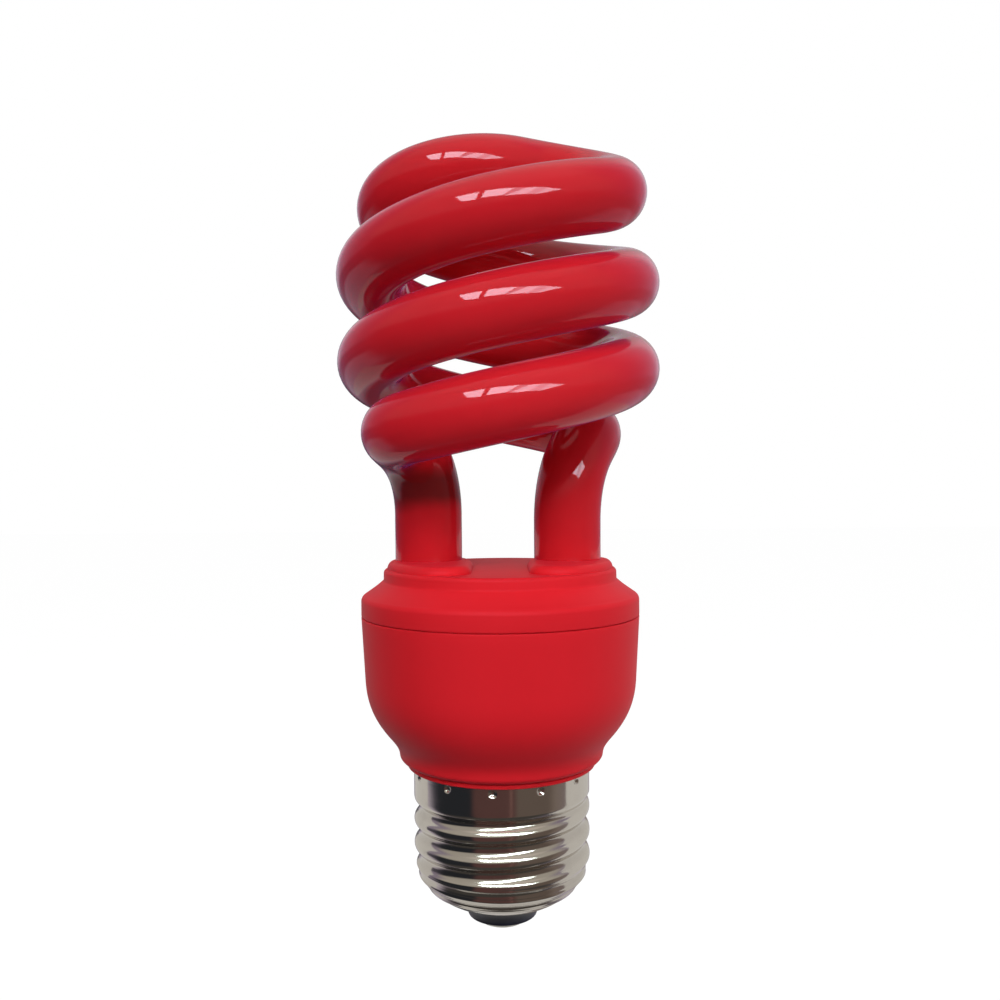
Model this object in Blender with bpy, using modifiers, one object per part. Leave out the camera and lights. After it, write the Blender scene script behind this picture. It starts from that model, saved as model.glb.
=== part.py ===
"""Compact fluorescent bulb: a red spiral tube on a two-piece ballast housing with a screw cap.

Metres, +Z up the bulb's axis. The origin is the middle of the centre contact's flat face, at the tip.
The photograph's front is -Y, with +X to the right.
"""
import bpy
import bmesh
from math import acos, atan2, cos, hypot, pi, radians, sin, tau
from mathutils import Matrix, Vector

MM = 0.001

# Clearances
FIT = 0.3 * MM                     # between two faces that touch on the real bulb

# Centre contact, from the tip up
CONTACT_FLAT_RADIUS = 2.8 * MM
CONTACT_RADIUS = 4.6 * MM
CONTACT_HEIGHT = 0.8 * MM
CONTACT_RIM = 0.25 * MM
EYELET_RADIUS = 0.9 * MM
EYELET_STAND_UP = 0.5 * MM         # above the insulator's inner face

# Insulator
INSULATOR_TIP_RADIUS = 5.2 * MM
INSULATOR_NOSE = 2.4 * MM          # how far the shell's mouth stands above the insulator's tip
INSULATOR_TIP_EDGE = 0.5 * MM

# Screw shell
SHELL_RADIUS = 13.2 * MM
SHELL_WALL = 0.45 * MM
SHELL_MOUTH_RADIUS = 7.0 * MM
SHELL_FOOT_HEIGHT = 4.9 * MM
SHELL_FOOT_NARROWING = 0.45 * MM
SHELL_FOOT_HANDLES = ((-0.25 * MM, -0.41), (3.4 * MM, 0.22))
THREAD_PITCH = 3.629 * MM
THREAD_DEPTH = 0.8 * MM
THREAD_LENGTH = 11.5 * MM
THREAD_FADE = 1.6 * MM
THREAD_CREST_ANGLE = 270.0         # degrees round the axis at which a crest stands ...
THREAD_CREST_RISE = 1.4 * MM       # ... this far above the thread's lower end
SHELL_BAND_HEIGHT = 3.7 * MM

# Lower housing, from the shell's top up. Each pair of handles bends one stretch of the wall: from its upper
# and then its lower end, outwards and along Z, the latter as a share of the stretch's height.
HOUSING_WALL = 1.5 * MM
SPIGOT_WALL = 1.35 * MM
LIP_STEP = 0.3 * MM
LIP_OVERHANG = 2.1 * MM            # over the screw shell
LIP_RADIUS = SHELL_RADIUS + LIP_OVERHANG
LIP_HEIGHT = 1.8 * MM
LIP_HANDLES = ((-0.1 * MM, -0.55), (1.0 * MM, 0.0))
NECK_FLARE = 1.7 * MM
NECK_FLARE_RADIUS = LIP_RADIUS + NECK_FLARE
NECK_FLARE_HEIGHT = 3.05 * MM
NECK_FLARE_HANDLES = ((-0.9 * MM, -0.34), (0.1 * MM, 0.39))
BOWL_HEIGHT = 7.75 * MM
BOWL_HANDLES = ((-0.25 * MM, -0.43), (1.9 * MM, 0.29))
SEAM_RADIUS = 20.86 * MM
CUP_TAPER = 0.56 * MM              # from the seam to the bowl
BOWL_RADIUS = SEAM_RADIUS - CUP_TAPER
CUP_WALL_HEIGHT = 9.5 * MM
SEAM_GAP = 0.3 * MM
SEAM_CHAMFER = 0.25 * MM

# Tube holder, from the seam up
COVER_BAND_HEIGHT = 2.3 * MM
SHOULDER_ROUND = 1.0 * MM
SHOULDER_HEIGHT = 2.9 * MM
SHOULDER_ARC = 62                  # degrees of rounding, from the slope to the band
PLATFORM_STEP = 3.36 * MM          # inside the seam's radius
PLATFORM_RADIUS = SEAM_RADIUS - PLATFORM_STEP
PLATFORM_HEIGHT = 1.8 * MM
PLATFORM_ROUND = 0.4 * MM
COVER_WALL = 1.5 * MM
SKIRT_DEPTH = 4.0 * MM
SKIRT_WALL = 1.2 * MM
COLLAR_WALL = 1.05 * MM
COLLAR_HEIGHT = 1.4 * MM
COLLAR_ROUND = 0.7 * MM

# Spiral tube
TUBE_RADIUS = 5.03 * MM
COLLAR_MARGIN = 0.635 * MM         # from a leg's collar to the platform's edge
LEG_OFFSET = PLATFORM_RADIUS - COLLAR_MARGIN - COLLAR_WALL - FIT - TUBE_RADIUS
LEG_IN_HOUSING = 7.3 * MM          # below the platform's top face
LEG_STRAIGHT = 5.9 * MM            # above the collars
COIL_RADIUS = 18.9 * MM            # of the centreline
COIL_STRAND_RISE = 12.64 * MM      # from one strand to the next
COIL_START_RISE = 14.63 * MM       # from the end of the straight legs to the helix
COIL_START_ANGLE = 243.0           # degrees, for the leg on the left
COIL_SWEEP = 432.6                 # degrees
COIL_LEAN = 2.33                   # degrees, towards the front: the coil stands a little out of true
BRIDGE_RISE = 7.04 * MM            # from the helix's end to the bridge's top
BRIDGE_ANGLE = 33.9                # degrees, of the bridge's line at the top
BRIDGE_SHIFT = (3.05 * MM, 0.75 * MM)     # the tube was closed a little beside the coil's middle
LEG_HANDLE = 15.6 * MM             # lengths of the smooth curves' handles
COIL_HANDLE = 13.6 * MM
LEFT_BRIDGE_HANDLES = (9.94 * MM, 12.87 * MM)       # out of the coil and over the top, left leg's strand
RIGHT_BRIDGE_HANDLES = (13.88 * MM, 15.31 * MM)
TUBE_END_DOME = ((0.0, 0.45), (0.175, 0.8), (0.5, 1.0))     # height and width, as shares of the tube's radius

# Ballast board and what it carries. A smaller board takes smaller parts, so their widths are in board units,
# which are millimetres for the board of this bulb.
BOARD_EDGE_GAP = 0.86 * MM
BOARD_RADIUS = SEAM_RADIUS - HOUSING_WALL - BOARD_EDGE_GAP
UNIT = BOARD_RADIUS / 18.5
PART_GAP = 0.5 * UNIT              # between neighbours on the board
BOARD_THICKNESS = 1.6 * MM
BOARD_LEDGE_WIDTH = 0.9 * UNIT
BOARD_LEDGE_HEIGHT = 1.2 * MM
WIRE_LANE = 2.4 * UNIT            # free lane for the line wire, between choke and capacitor
WIRE_LANE_X = 0.5 * UNIT
CORE_WIDTH = 16.0 * UNIT
CORE_DEPTH = 5.0 * UNIT
CORE_HALF_HEIGHT = 6.6 * MM
CORE_OUTER_LEG = CORE_WIDTH / 8
CORE_MIDDLE_LEG = 2 * CORE_OUTER_LEG
CORE_BACK = CORE_OUTER_LEG
CORE_AIR_GAP = 0.3 * MM
BOBBIN_WIDTH = 10.6 * UNIT
BOBBIN_FLANGE = 0.7 * MM
BOBBIN_TUBE_WALL = 0.6 * MM
WINDING_INSET = 0.5 * MM
WINDING_ROUND = 1.2 * UNIT
RESERVOIR_RADIUS = 4.0 * UNIT
RESERVOIR_LENGTH = 14.0 * MM
RESERVOIR_GROOVE = 2.0 * MM        # below its upper end
RESERVOIR_EDGE = 0.5 * MM
FILM_LENGTH = 6.4 * UNIT
FILM_WIDTH = 2.6 * UNIT
FILM_HEIGHT = 6.5 * MM
FILM_ROUND = 0.7 * UNIT
FILM_ROW_GAP = 3.3 * UNIT         # from the reservoir's side to the outer two
TRANSISTOR_WIDTH = 4.6 * UNIT
TRANSISTOR_DEPTH = 3.6 * UNIT
TRANSISTOR_HEIGHT = 4.6 * MM
TOROID_MARGIN = 0.8 * UNIT
TOROID_RADIUS = (BOARD_RADIUS - BOARD_LEDGE_WIDTH - CORE_WIDTH / 2) / 2 - TOROID_MARGIN
TOROID_BORE_RADIUS = 0.575 * TOROID_RADIUS
TOROID_HEIGHT = 2.6 * MM
TOROID_EDGE = 0.3 * UNIT
TOROID_OFFSET = 0.6 * UNIT        # from the line wire's lane
TOROID_WINDING_TURNS = 3
TOROID_WINDING_ANGLES = (80, 200, 320)
TOROID_TURN_ANGLE = 24.0           # degrees round the ring, from one turn to the next
MAGNET_WIRE_RADIUS = 0.22 * MM
DIODE_RADIUS = 1.2 * UNIT
DIODE_LENGTH = 4.2 * UNIT
DIODE_SPAN = 8.0 * UNIT
DIAC_RADIUS = 0.9 * UNIT
DIAC_LENGTH = 3.4 * UNIT
DIAC_SPAN = 6.0 * UNIT
RESISTOR_RADIUS = 1.1 * UNIT
RESISTOR_LENGTH = 4.2 * UNIT
RESISTOR_SPAN = 6.2 * UNIT
FUSE_RADIUS = 1.9 * MM
FUSE_LENGTH = 8.0 * MM
FUSE_LEAD_LENGTH = 3.0 * MM
FUSE_EDGE = 0.4 * MM
LEAD_RADIUS = 0.3 * MM
MAINS_WIRE_RADIUS = 0.6 * MM
WRAP_PIN_WIDTH = 0.8 * MM
WRAP_PIN_HEIGHT = 4.0 * MM
WRAP_PIN_X = 12.5 * UNIT
WRAP_PIN_Y = 7.5 * UNIT
WRAP_TURNS = 1.25
WRAP_CORNERS = 8                   # to a turn
FILAMENT_SPACING = 3.2 * MM        # between the two leads of one tube end

# Levels that follow from the sizes above
INSULATOR_TIP_Z = CONTACT_HEIGHT + FIT
MOUTH_Z = INSULATOR_TIP_Z + INSULATOR_NOSE
THREAD_LOW_Z = MOUTH_Z + SHELL_FOOT_HEIGHT
THREAD_HIGH_Z = THREAD_LOW_Z + THREAD_LENGTH
SHELL_TOP_Z = THREAD_HIGH_Z + SHELL_BAND_HEIGHT
LIP_Z = SHELL_TOP_Z + FIT
NECK_Z = LIP_Z + LIP_HEIGHT
BOWL_LOW_Z = NECK_Z + NECK_FLARE_HEIGHT
BOWL_HIGH_Z = BOWL_LOW_Z + BOWL_HEIGHT
SEAM_Z = BOWL_HIGH_Z + CUP_WALL_HEIGHT
COVER_Z = SEAM_Z + SEAM_GAP
SHOULDER_Z = COVER_Z + COVER_BAND_HEIGHT
PLATFORM_LOW_Z = SHOULDER_Z + SHOULDER_HEIGHT
PLATFORM_Z = PLATFORM_LOW_Z + PLATFORM_HEIGHT
COLLAR_Z = PLATFORM_Z + COLLAR_HEIGHT
LEG_BOTTOM_Z = PLATFORM_Z - LEG_IN_HOUSING
LEG_TOP_Z = COLLAR_Z + LEG_STRAIGHT
COIL_START_Z = LEG_TOP_Z + COIL_START_RISE
SKIRT_Z = COVER_Z - SKIRT_DEPTH
BOARD_TOP_Z = SKIRT_Z - FIT
BOARD_Z = BOARD_TOP_Z - BOARD_THICKNESS
UNDER_BOARD_Z = BOARD_Z - FIT
TUBE_HOLE_RADIUS = TUBE_RADIUS + FIT
INSULATOR_NECK_RADIUS = SHELL_MOUTH_RADIUS - SHELL_WALL / 3 - FIT
EYELET_HOLE_RADIUS = EYELET_RADIUS + FIT

# Places on the board, worked outwards from the line wire's lane
CHOKE_X = WIRE_LANE_X - WIRE_LANE / 2 - BOBBIN_WIDTH / 2
RESERVOIR_X = WIRE_LANE_X + WIRE_LANE / 2 + RESERVOIR_RADIUS
FILM_3_X = RESERVOIR_X + RESERVOIR_RADIUS + PART_GAP + FILM_WIDTH / 2
DIODE_4_X = FILM_3_X + FILM_WIDTH / 2 + PART_GAP + DIODE_RADIUS
DIODE_1_X = CHOKE_X - BOBBIN_WIDTH / 2 - PART_GAP - DIODE_RADIUS
DIODE_3_X = DIODE_1_X - 2 * DIODE_RADIUS - PART_GAP
WOUND_TOROID_RADIUS = TOROID_RADIUS + FIT + 2 * MAGNET_WIRE_RADIUS
TOROID_X = WIRE_LANE_X - TOROID_OFFSET
TOROID_Y = CORE_WIDTH / 2 + TOROID_RADIUS + PART_GAP
TRANSISTOR_Y = -(CORE_WIDTH / 2 + 3 * PART_GAP + TRANSISTOR_DEPTH / 2)
TRANSISTOR_1_X = CHOKE_X + CORE_DEPTH / 2 + TRANSISTOR_WIDTH / 2 - PART_GAP
TRANSISTOR_2_X = TRANSISTOR_1_X + TRANSISTOR_WIDTH + PART_GAP
FILM_1_X = TOROID_X + WOUND_TOROID_RADIUS + PART_GAP + FILM_LENGTH / 2
FILM_2_X = TRANSISTOR_2_X + TRANSISTOR_WIDTH / 2 + PART_GAP + FILM_LENGTH / 2
FILM_12_Y = RESERVOIR_RADIUS + FILM_ROW_GAP + FILM_WIDTH / 2
DIAC_Y = FILM_12_Y + FILM_WIDTH / 2 + PART_GAP + DIAC_RADIUS
RESISTOR_12_X = CHOKE_X - CORE_DEPTH / 2 - PART_GAP
RESISTOR_12_Y = CORE_WIDTH / 2 + 2 * PART_GAP + RESISTOR_RADIUS + LEAD_RADIUS
RESISTOR_3_Y = TRANSISTOR_Y - TRANSISTOR_DEPTH / 2 - PART_GAP - RESISTOR_RADIUS
RESISTOR_4_Y = -(FILM_12_Y + FILM_WIDTH / 2 + PART_GAP + RESISTOR_RADIUS)
NEUTRAL_WIRE_Y = TRANSISTOR_Y + TRANSISTOR_DEPTH / 2 + 3 * PART_GAP + MAINS_WIRE_RADIUS

# How finely round forms are divided
HOUSING_STEPS = 36
COLLAR_STEPS = 24
SHELL_STEPS = 26
THREAD_ROWS = 20
FOOT_ROWS = 6
BOWL_ROWS = 6
NECK_FLARE_ROWS = 3
LIP_ROWS = 4
TUBE_SIDES = 14
COIL_STEP_ANGLE = 12.0

STEP_NUDGE = 0.02 * MM             # a sudden change of a wire's width takes this much of its length
ROUND_SHADE = radians(40)


def clear_scene():
    for obj in list(bpy.data.objects):
        bpy.data.objects.remove(obj, do_unlink=True)


def new_collection(name):
    made = bpy.data.collections.new(name)
    bpy.context.scene.collection.children.link(made)
    return made


def new_material(name, colour, roughness, metallic=0.0):
    made = bpy.data.materials.new(name)
    made.use_nodes = True
    shader = made.node_tree.nodes["Principled BSDF"]
    shader.inputs["Base Color"].default_value = (*colour, 1.0)
    shader.inputs["Roughness"].default_value = roughness
    shader.inputs["Metallic"].default_value = metallic
    made.diffuse_color = (*colour, 1.0)
    return made


def add_part(name, data, colour, roughness, metallic=0.0, location=(0.0, 0.0, 0.0), turn=0.0):
    """Link a mesh or curve as one named piece with a material of its own."""
    obj = bpy.data.objects.new(name, data)
    obj.location = location
    obj.rotation_euler = (0.0, 0.0, radians(turn))
    obj.parent = bulb
    data.materials.append(new_material(name, colour, roughness, metallic))
    parts.objects.link(obj)
    return obj


def add_cutter(name, data, location=(0.0, 0.0, 0.0)):
    obj = bpy.data.objects.new(name, data)
    obj.location = location
    obj.hide_render = True
    obj.display_type = "WIRE"
    cutters.objects.link(obj)
    return obj


def smooth_round_faces(data):
    data.shade_smooth()
    data.set_sharp_from_angle(angle=ROUND_SHADE)


def profile_mesh(name, points, closed):
    """A turned shape's outline in the XZ plane, from (radius, height) pairs."""
    made = bpy.data.meshes.new(name)
    count = len(points)
    edges = [(i, i + 1) for i in range(count - 1)]
    if closed:
        edges.append((count - 1, 0))
    made.from_pydata([(r, 0.0, z) for r, z in points], edges, [])
    return made


def add_screw(obj, steps):
    screw = obj.modifiers.new("turn", "SCREW")
    screw.axis = "Z"
    screw.angle = tau
    screw.steps = steps
    screw.render_steps = steps
    screw.use_merge_vertices = True
    screw.merge_threshold = 0.00001
    screw.use_smooth_shade = True
    return screw


def add_turned(name, points, steps, closed, look, location=(0.0, 0.0, 0.0)):
    obj = add_part(name, profile_mesh(name, points, closed), *look, location=location)
    add_screw(obj, steps)
    return obj


def turned_cutter(name, points, steps, closed, location=(0.0, 0.0, 0.0)):
    obj = add_cutter(name, profile_mesh(name, points, closed), location)
    add_screw(obj, steps)
    return obj


def add_boolean(obj, other, operation):
    step = obj.modifiers.new(other.name, "BOOLEAN")
    step.operation = operation
    step.object = other
    step.solver = "EXACT"
    return step


def box_mesh(name, size):
    made = bpy.data.meshes.new(name)
    bm = bmesh.new()
    bmesh.ops.create_cube(bm, size=1.0, matrix=Matrix.Diagonal((*size, 1.0)))
    bm.to_mesh(made)
    bm.free()
    return made


def add_bevel(obj, width, segments):
    bevel = obj.modifiers.new("edges", "BEVEL")
    bevel.width = width
    bevel.segments = segments
    bevel.limit_method = "ANGLE"
    return bevel


def tube_curve(name, points, radius, factors=None, sides=8):
    """A round wire along points. Factors scale the radius point by point."""
    made = bpy.data.curves.new(name, "CURVE")
    made.dimensions = "3D"
    made.bevel_depth = radius
    made.bevel_resolution = (sides - 4) // 2
    made.use_fill_caps = True
    spline = made.splines.new("POLY")
    spline.points.add(len(points) - 1)
    for i, place in enumerate(points):
        spline.points[i].co = (*place, 1.0)
        spline.points[i].radius = factors[i] if factors else 1.0
    return made


def outline_curve(name, points, thickness):
    """A flat outline, filled on both sides and as thick as asked."""
    made = bpy.data.curves.new(name, "CURVE")
    made.dimensions = "2D"
    made.fill_mode = "BOTH"
    made.extrude = thickness / 2
    spline = made.splines.new("POLY")
    spline.points.add(len(points) - 1)
    for i, (x, y) in enumerate(points):
        spline.points[i].co = (x, y, 0.0, 1.0)
    spline.use_cyclic_u = True
    return made


def bezier(p0, p1, p2, p3, t):
    s = 1.0 - t
    return s ** 3 * p0 + 3 * s * s * t * p1 + 3 * s * t * t * p2 + t ** 3 * p3


def bezier_run(p0, p1, p2, p3, count):
    """Points after the first, up to and including the last."""
    ends = [Vector(p) for p in (p0, p1, p2, p3)]
    return [bezier(*ends, i / count) for i in range(1, count + 1)]


def bent_between(high, low, handles):
    """Four control points of a curve from high to low. The handles give each end's bend."""
    height = high[1] - low[1]
    (high_r, high_share), (low_r, low_share) = handles
    return (high, (high[0] + high_r, high[1] + high_share * height),
            (low[0] + low_r, low[1] + low_share * height), low)


def arc(centre_r, centre_z, radius, start, end, count):
    """Points of a round edge, angles in degrees from +R towards +Z."""
    turns = [radians(start + (end - start) * i / count) for i in range(count + 1)]
    return [(centre_r + radius * cos(a), centre_z + radius * sin(a)) for a in turns]


# Spiral tube

def coil_point(angle):
    rise = COIL_STRAND_RISE * (angle - radians(COIL_START_ANGLE)) / pi
    return Vector((COIL_RADIUS * cos(angle), COIL_RADIUS * sin(angle), COIL_START_Z + rise))


def coil_direction(angle):
    step = Vector((-COIL_RADIUS * sin(angle), COIL_RADIUS * cos(angle), COIL_STRAND_RISE / pi))
    return step.normalized()


def strand_points(shift, side_handle, top_handle):
    """Centreline of one strand, from its leg's lower end to the top of the bridge, with the leg on the left."""
    start = radians(COIL_START_ANGLE)
    end = start + radians(COIL_SWEEP)
    leg_foot = Vector((-LEG_OFFSET, 0.0, LEG_BOTTOM_Z))
    leg_mouth = Vector((-LEG_OFFSET, 0.0, COLLAR_Z))
    leg_top = Vector((-LEG_OFFSET, 0.0, LEG_TOP_Z))
    points = [leg_foot, leg_mouth, leg_top]
    points += bezier_run(leg_top, leg_top + Vector((0.0, 0.0, LEG_HANDLE)),
                         coil_point(start) - COIL_HANDLE * coil_direction(start), coil_point(start), 9)
    turns = round(COIL_SWEEP / COIL_STEP_ANGLE)
    points += [coil_point(start + (end - start) * i / turns) for i in range(1, turns + 1)]
    line = radians(BRIDGE_ANGLE)
    top = Vector((*shift, coil_point(end).z + BRIDGE_RISE))
    points += bezier_run(coil_point(end), coil_point(end) + side_handle * coil_direction(end),
                         top + top_handle * Vector((cos(line), sin(line), 0.0)), top, 7)
    return points


def lean(point):
    """Tilt what stands above the collars towards the front, easing in over one tube radius."""
    height = point.z - COLLAR_Z
    share = min(max(height / TUBE_RADIUS, 0.0), 1.0)
    turn = Matrix.Rotation(radians(COIL_LEAN) * share, 3, "X")
    return turn @ Vector((point.x, point.y, height)) + Vector((0.0, 0.0, COLLAR_Z))


def tube_path():
    left = strand_points(BRIDGE_SHIFT, *LEFT_BRIDGE_HANDLES)
    right = strand_points([-offset for offset in BRIDGE_SHIFT], *RIGHT_BRIDGE_HANDLES)
    right = [Vector((-p.x, -p.y, p.z)) for p in reversed(right[:-1])]
    return [lean(p) for p in left + right]


def make_spiral_tube():
    path = tube_path()
    foot = [path[0] + Vector((0.0, 0.0, TUBE_RADIUS * rise)) for rise, _ in TUBE_END_DOME]
    other = [Vector((-p.x, -p.y, p.z)) for p in reversed(foot)]
    widths = [width for _, width in TUBE_END_DOME]
    factors = widths + [1.0] * (len(path) - 2) + widths[::-1]
    data = tube_curve("spiral_tube", foot + path[1:-1] + other, TUBE_RADIUS, factors, TUBE_SIDES)
    add_part("spiral_tube", data, (0.60, 0.018, 0.026), 0.08)


# Tube holder

def cover_profile():
    """From the top face's middle down the outside, up the inside and back to the middle."""
    skirt_outside = SEAM_RADIUS - HOUSING_WALL - FIT
    skirt_inside = skirt_outside - SKIRT_WALL
    shoulder_centre = SEAM_RADIUS - SHOULDER_ROUND
    ceiling = PLATFORM_Z - COVER_WALL
    points = [(0.0, PLATFORM_Z)]
    points += arc(PLATFORM_RADIUS - PLATFORM_ROUND, PLATFORM_Z - PLATFORM_ROUND, PLATFORM_ROUND, 90, 0, 3)
    points.append((PLATFORM_RADIUS, PLATFORM_LOW_Z))
    points += arc(shoulder_centre, SHOULDER_Z, SHOULDER_ROUND, SHOULDER_ARC, 0, 4)
    points.append((SEAM_RADIUS, COVER_Z + SEAM_CHAMFER))
    points.append((SEAM_RADIUS - SEAM_CHAMFER, COVER_Z))
    points.append((skirt_outside, COVER_Z))
    points.append((skirt_outside, SKIRT_Z))
    points.append((skirt_inside, SKIRT_Z))
    points.append((skirt_inside, SHOULDER_Z - COVER_WALL / 2))
    points.append((PLATFORM_RADIUS - COVER_WALL, PLATFORM_LOW_Z - COVER_WALL))
    points.append((PLATFORM_RADIUS - COVER_WALL, ceiling))
    points.append((0.0, ceiling))
    return points


def collar_profile():
    outside = TUBE_HOLE_RADIUS + COLLAR_WALL
    low = PLATFORM_Z - COVER_WALL / 2
    edge = min(COLLAR_ROUND, 0.7 * COLLAR_WALL, 0.7 * COLLAR_HEIGHT)
    return [(0.0, COLLAR_Z)] + arc(outside - edge, COLLAR_Z - edge, edge, 90, 0, 3) + [(outside, low), (0.0, low)]


def make_top_cover():
    red = ((0.60, 0.018, 0.030), 0.42)
    cover = add_turned("top_cover", cover_profile(), HOUSING_STEPS, False, red)
    for name, side in (("left", -1), ("right", 1)):
        place = (side * LEG_OFFSET, 0.0, 0.0)
        collar = turned_cutter("collar_" + name, collar_profile(), COLLAR_STEPS, False, place)
        add_boolean(cover, collar, "UNION")
    high, low = COLLAR_Z + COVER_WALL, PLATFORM_Z - 2 * COVER_WALL
    wall = [(0.0, high), (TUBE_HOLE_RADIUS, high), (TUBE_HOLE_RADIUS, low), (0.0, low)]
    for name, side in (("left", -1), ("right", 1)):
        place = (side * LEG_OFFSET, 0.0, 0.0)
        hole = turned_cutter("tube_hole_" + name, wall, COLLAR_STEPS, False, place)
        add_boolean(cover, hole, "DIFFERENCE")


# Lower housing

def cup_outside():
    """The cup's outer line from the seam down to the lip's underside."""
    spigot = SHELL_RADIUS - SHELL_WALL - FIT
    points = [(SEAM_RADIUS - SEAM_CHAMFER, SEAM_Z), (SEAM_RADIUS, SEAM_Z - SEAM_CHAMFER)]
    bowl_high, bowl_low = (BOWL_RADIUS, BOWL_HIGH_Z), (NECK_FLARE_RADIUS, BOWL_LOW_Z)
    neck, lip = (LIP_RADIUS, NECK_Z), (SHELL_RADIUS + LIP_STEP, LIP_Z)
    points.append(bowl_high)
    points += bezier_run(*bent_between(bowl_high, bowl_low, BOWL_HANDLES), BOWL_ROWS)
    points += bezier_run(*bent_between(bowl_low, neck, NECK_FLARE_HANDLES), NECK_FLARE_ROWS)
    points += bezier_run(*bent_between(neck, lip, LIP_HANDLES), LIP_ROWS)
    points.append((spigot, LIP_Z))
    return [(p[0], p[1]) for p in points]


def make_lower_housing():
    spigot = SHELL_RADIUS - SHELL_WALL - FIT
    spigot_inside = spigot - SPIGOT_WALL
    ledge_z = UNDER_BOARD_Z
    ledge_inside = BOARD_RADIUS - BOARD_LEDGE_WIDTH + FIT
    spigot_low = THREAD_HIGH_Z + FIT
    points = cup_outside()
    points += [(spigot, spigot_low), (spigot_inside, spigot_low), (spigot_inside, LIP_Z + LIP_HEIGHT / 2)]
    points.append((LIP_RADIUS - HOUSING_WALL, NECK_Z + FIT))
    points.append((NECK_FLARE_RADIUS - HOUSING_WALL, BOWL_LOW_Z + HOUSING_WALL / 2))
    bowl_middle = bezier_run(*bent_between((BOWL_RADIUS, BOWL_HIGH_Z), (NECK_FLARE_RADIUS, BOWL_LOW_Z),
                                           BOWL_HANDLES), 2)[0]
    points.append((bowl_middle.x - HOUSING_WALL, bowl_middle.y + HOUSING_WALL / 2))
    points.append((BOWL_RADIUS - HOUSING_WALL, BOWL_HIGH_Z))
    points.append((ledge_inside, ledge_z - BOARD_LEDGE_HEIGHT))
    points.append((ledge_inside, ledge_z))
    points.append((BOARD_RADIUS + FIT, ledge_z))
    points.append((SEAM_RADIUS - HOUSING_WALL, BOARD_TOP_Z))
    points.append((SEAM_RADIUS - HOUSING_WALL, SEAM_Z))
    add_turned("lower_housing", points, HOUSING_STEPS, True, ((0.60, 0.018, 0.030), 0.42))


# Screw cap

def foot_point(t):
    """The shell's rounded foot, from the thread's lower end to the mouth."""
    high, low = (SHELL_RADIUS - SHELL_FOOT_NARROWING, THREAD_LOW_Z), (SHELL_MOUTH_RADIUS, MOUTH_Z)
    return bezier(*(Vector(p) for p in bent_between(high, low, SHELL_FOOT_HANDLES)), t)


def foot_inside(t, distance):
    """A point that lies the given distance inside the shell's foot."""
    ahead = foot_point(min(t + 0.01, 1.0)) - foot_point(max(t - 0.01, 0.0))
    ahead.normalize()
    return foot_point(t) + distance * Vector((ahead.y, -ahead.x))


def thread_cut(x, y, z):
    """How far the rolled thread lies inside the shell's plain radius at a point."""
    turn = atan2(y, x) - radians(THREAD_CREST_ANGLE)
    crest = THREAD_LOW_Z + THREAD_CREST_RISE + THREAD_PITCH * turn / tau
    wave = 0.5 - 0.5 * cos(tau * (z - crest) / THREAD_PITCH)
    ends = min(THREAD_HIGH_Z - z, z - THREAD_LOW_Z + THREAD_FADE / 2) / THREAD_FADE
    return THREAD_DEPTH * wave * min(max(ends, 0.0), 1.0)


def make_screw_shell():
    """The shell is turned plain, the thread is rolled in along its helix, and then it gets its wall."""
    points = [(SHELL_RADIUS, SHELL_TOP_Z)]
    for i in range(THREAD_ROWS + 1):
        share = i / THREAD_ROWS
        near_foot = max(0.0, 1.0 - (1.0 - share) * THREAD_LENGTH / THREAD_FADE)
        points.append((SHELL_RADIUS - SHELL_FOOT_NARROWING * near_foot ** 2, THREAD_HIGH_Z - share * THREAD_LENGTH))
    points += [tuple(foot_point(i / FOOT_ROWS)) for i in range(1, FOOT_ROWS + 1)]
    blank = turned_cutter("shell_blank", points, SHELL_STEPS, False)
    rolled = bpy.data.meshes.new_from_object(blank.evaluated_get(bpy.context.evaluated_depsgraph_get()))
    bpy.data.objects.remove(blank)
    for vertex in rolled.vertices:
        x, y, z = vertex.co
        if THREAD_LOW_Z - THREAD_FADE < z < THREAD_HIGH_Z:
            radius = hypot(x, y)
            narrower = (radius - thread_cut(x, y, z)) / radius
            vertex.co = (x * narrower, y * narrower, z)
    smooth_round_faces(rolled)
    shell = add_part("screw_shell", rolled, (0.62, 0.58, 0.53), 0.18, 1.0)
    wall = shell.modifiers.new("wall", "SOLIDIFY")
    wall.thickness = SHELL_WALL
    wall.offset = -1.0
    wall.use_rim = True


def insulator_top():
    return foot_inside(0.3, SHELL_WALL + FIT).y


def make_base_insulator():
    points = [tuple(foot_inside(t, SHELL_WALL + FIT)) for t in (0.3, 0.5, 0.7, 0.85)]
    points.append((INSULATOR_NECK_RADIUS, MOUTH_Z + SHELL_WALL + FIT))
    points.append((INSULATOR_NECK_RADIUS, MOUTH_Z - FIT))
    points.append((INSULATOR_TIP_RADIUS, INSULATOR_TIP_Z + INSULATOR_TIP_EDGE))
    points.append((INSULATOR_TIP_RADIUS - INSULATOR_TIP_EDGE, INSULATOR_TIP_Z))
    points.append((EYELET_HOLE_RADIUS, INSULATOR_TIP_Z))
    points.append((EYELET_HOLE_RADIUS, insulator_top()))
    add_turned("base_insulator", points, 24, True, ((0.020, 0.022, 0.034), 0.16))


def eyelet_top():
    return insulator_top() + EYELET_STAND_UP


def make_centre_contact():
    points = [(0.0, eyelet_top()), (EYELET_RADIUS, eyelet_top()), (EYELET_RADIUS, CONTACT_HEIGHT),
              (CONTACT_RADIUS, CONTACT_HEIGHT), (CONTACT_RADIUS, CONTACT_HEIGHT - CONTACT_RIM),
              (CONTACT_FLAT_RADIUS, 0.0), (0.0, 0.0)]
    add_turned("centre_contact", points, 20, False, ((0.58, 0.54, 0.48), 0.3, 1.0))


# Ballast board

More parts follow.
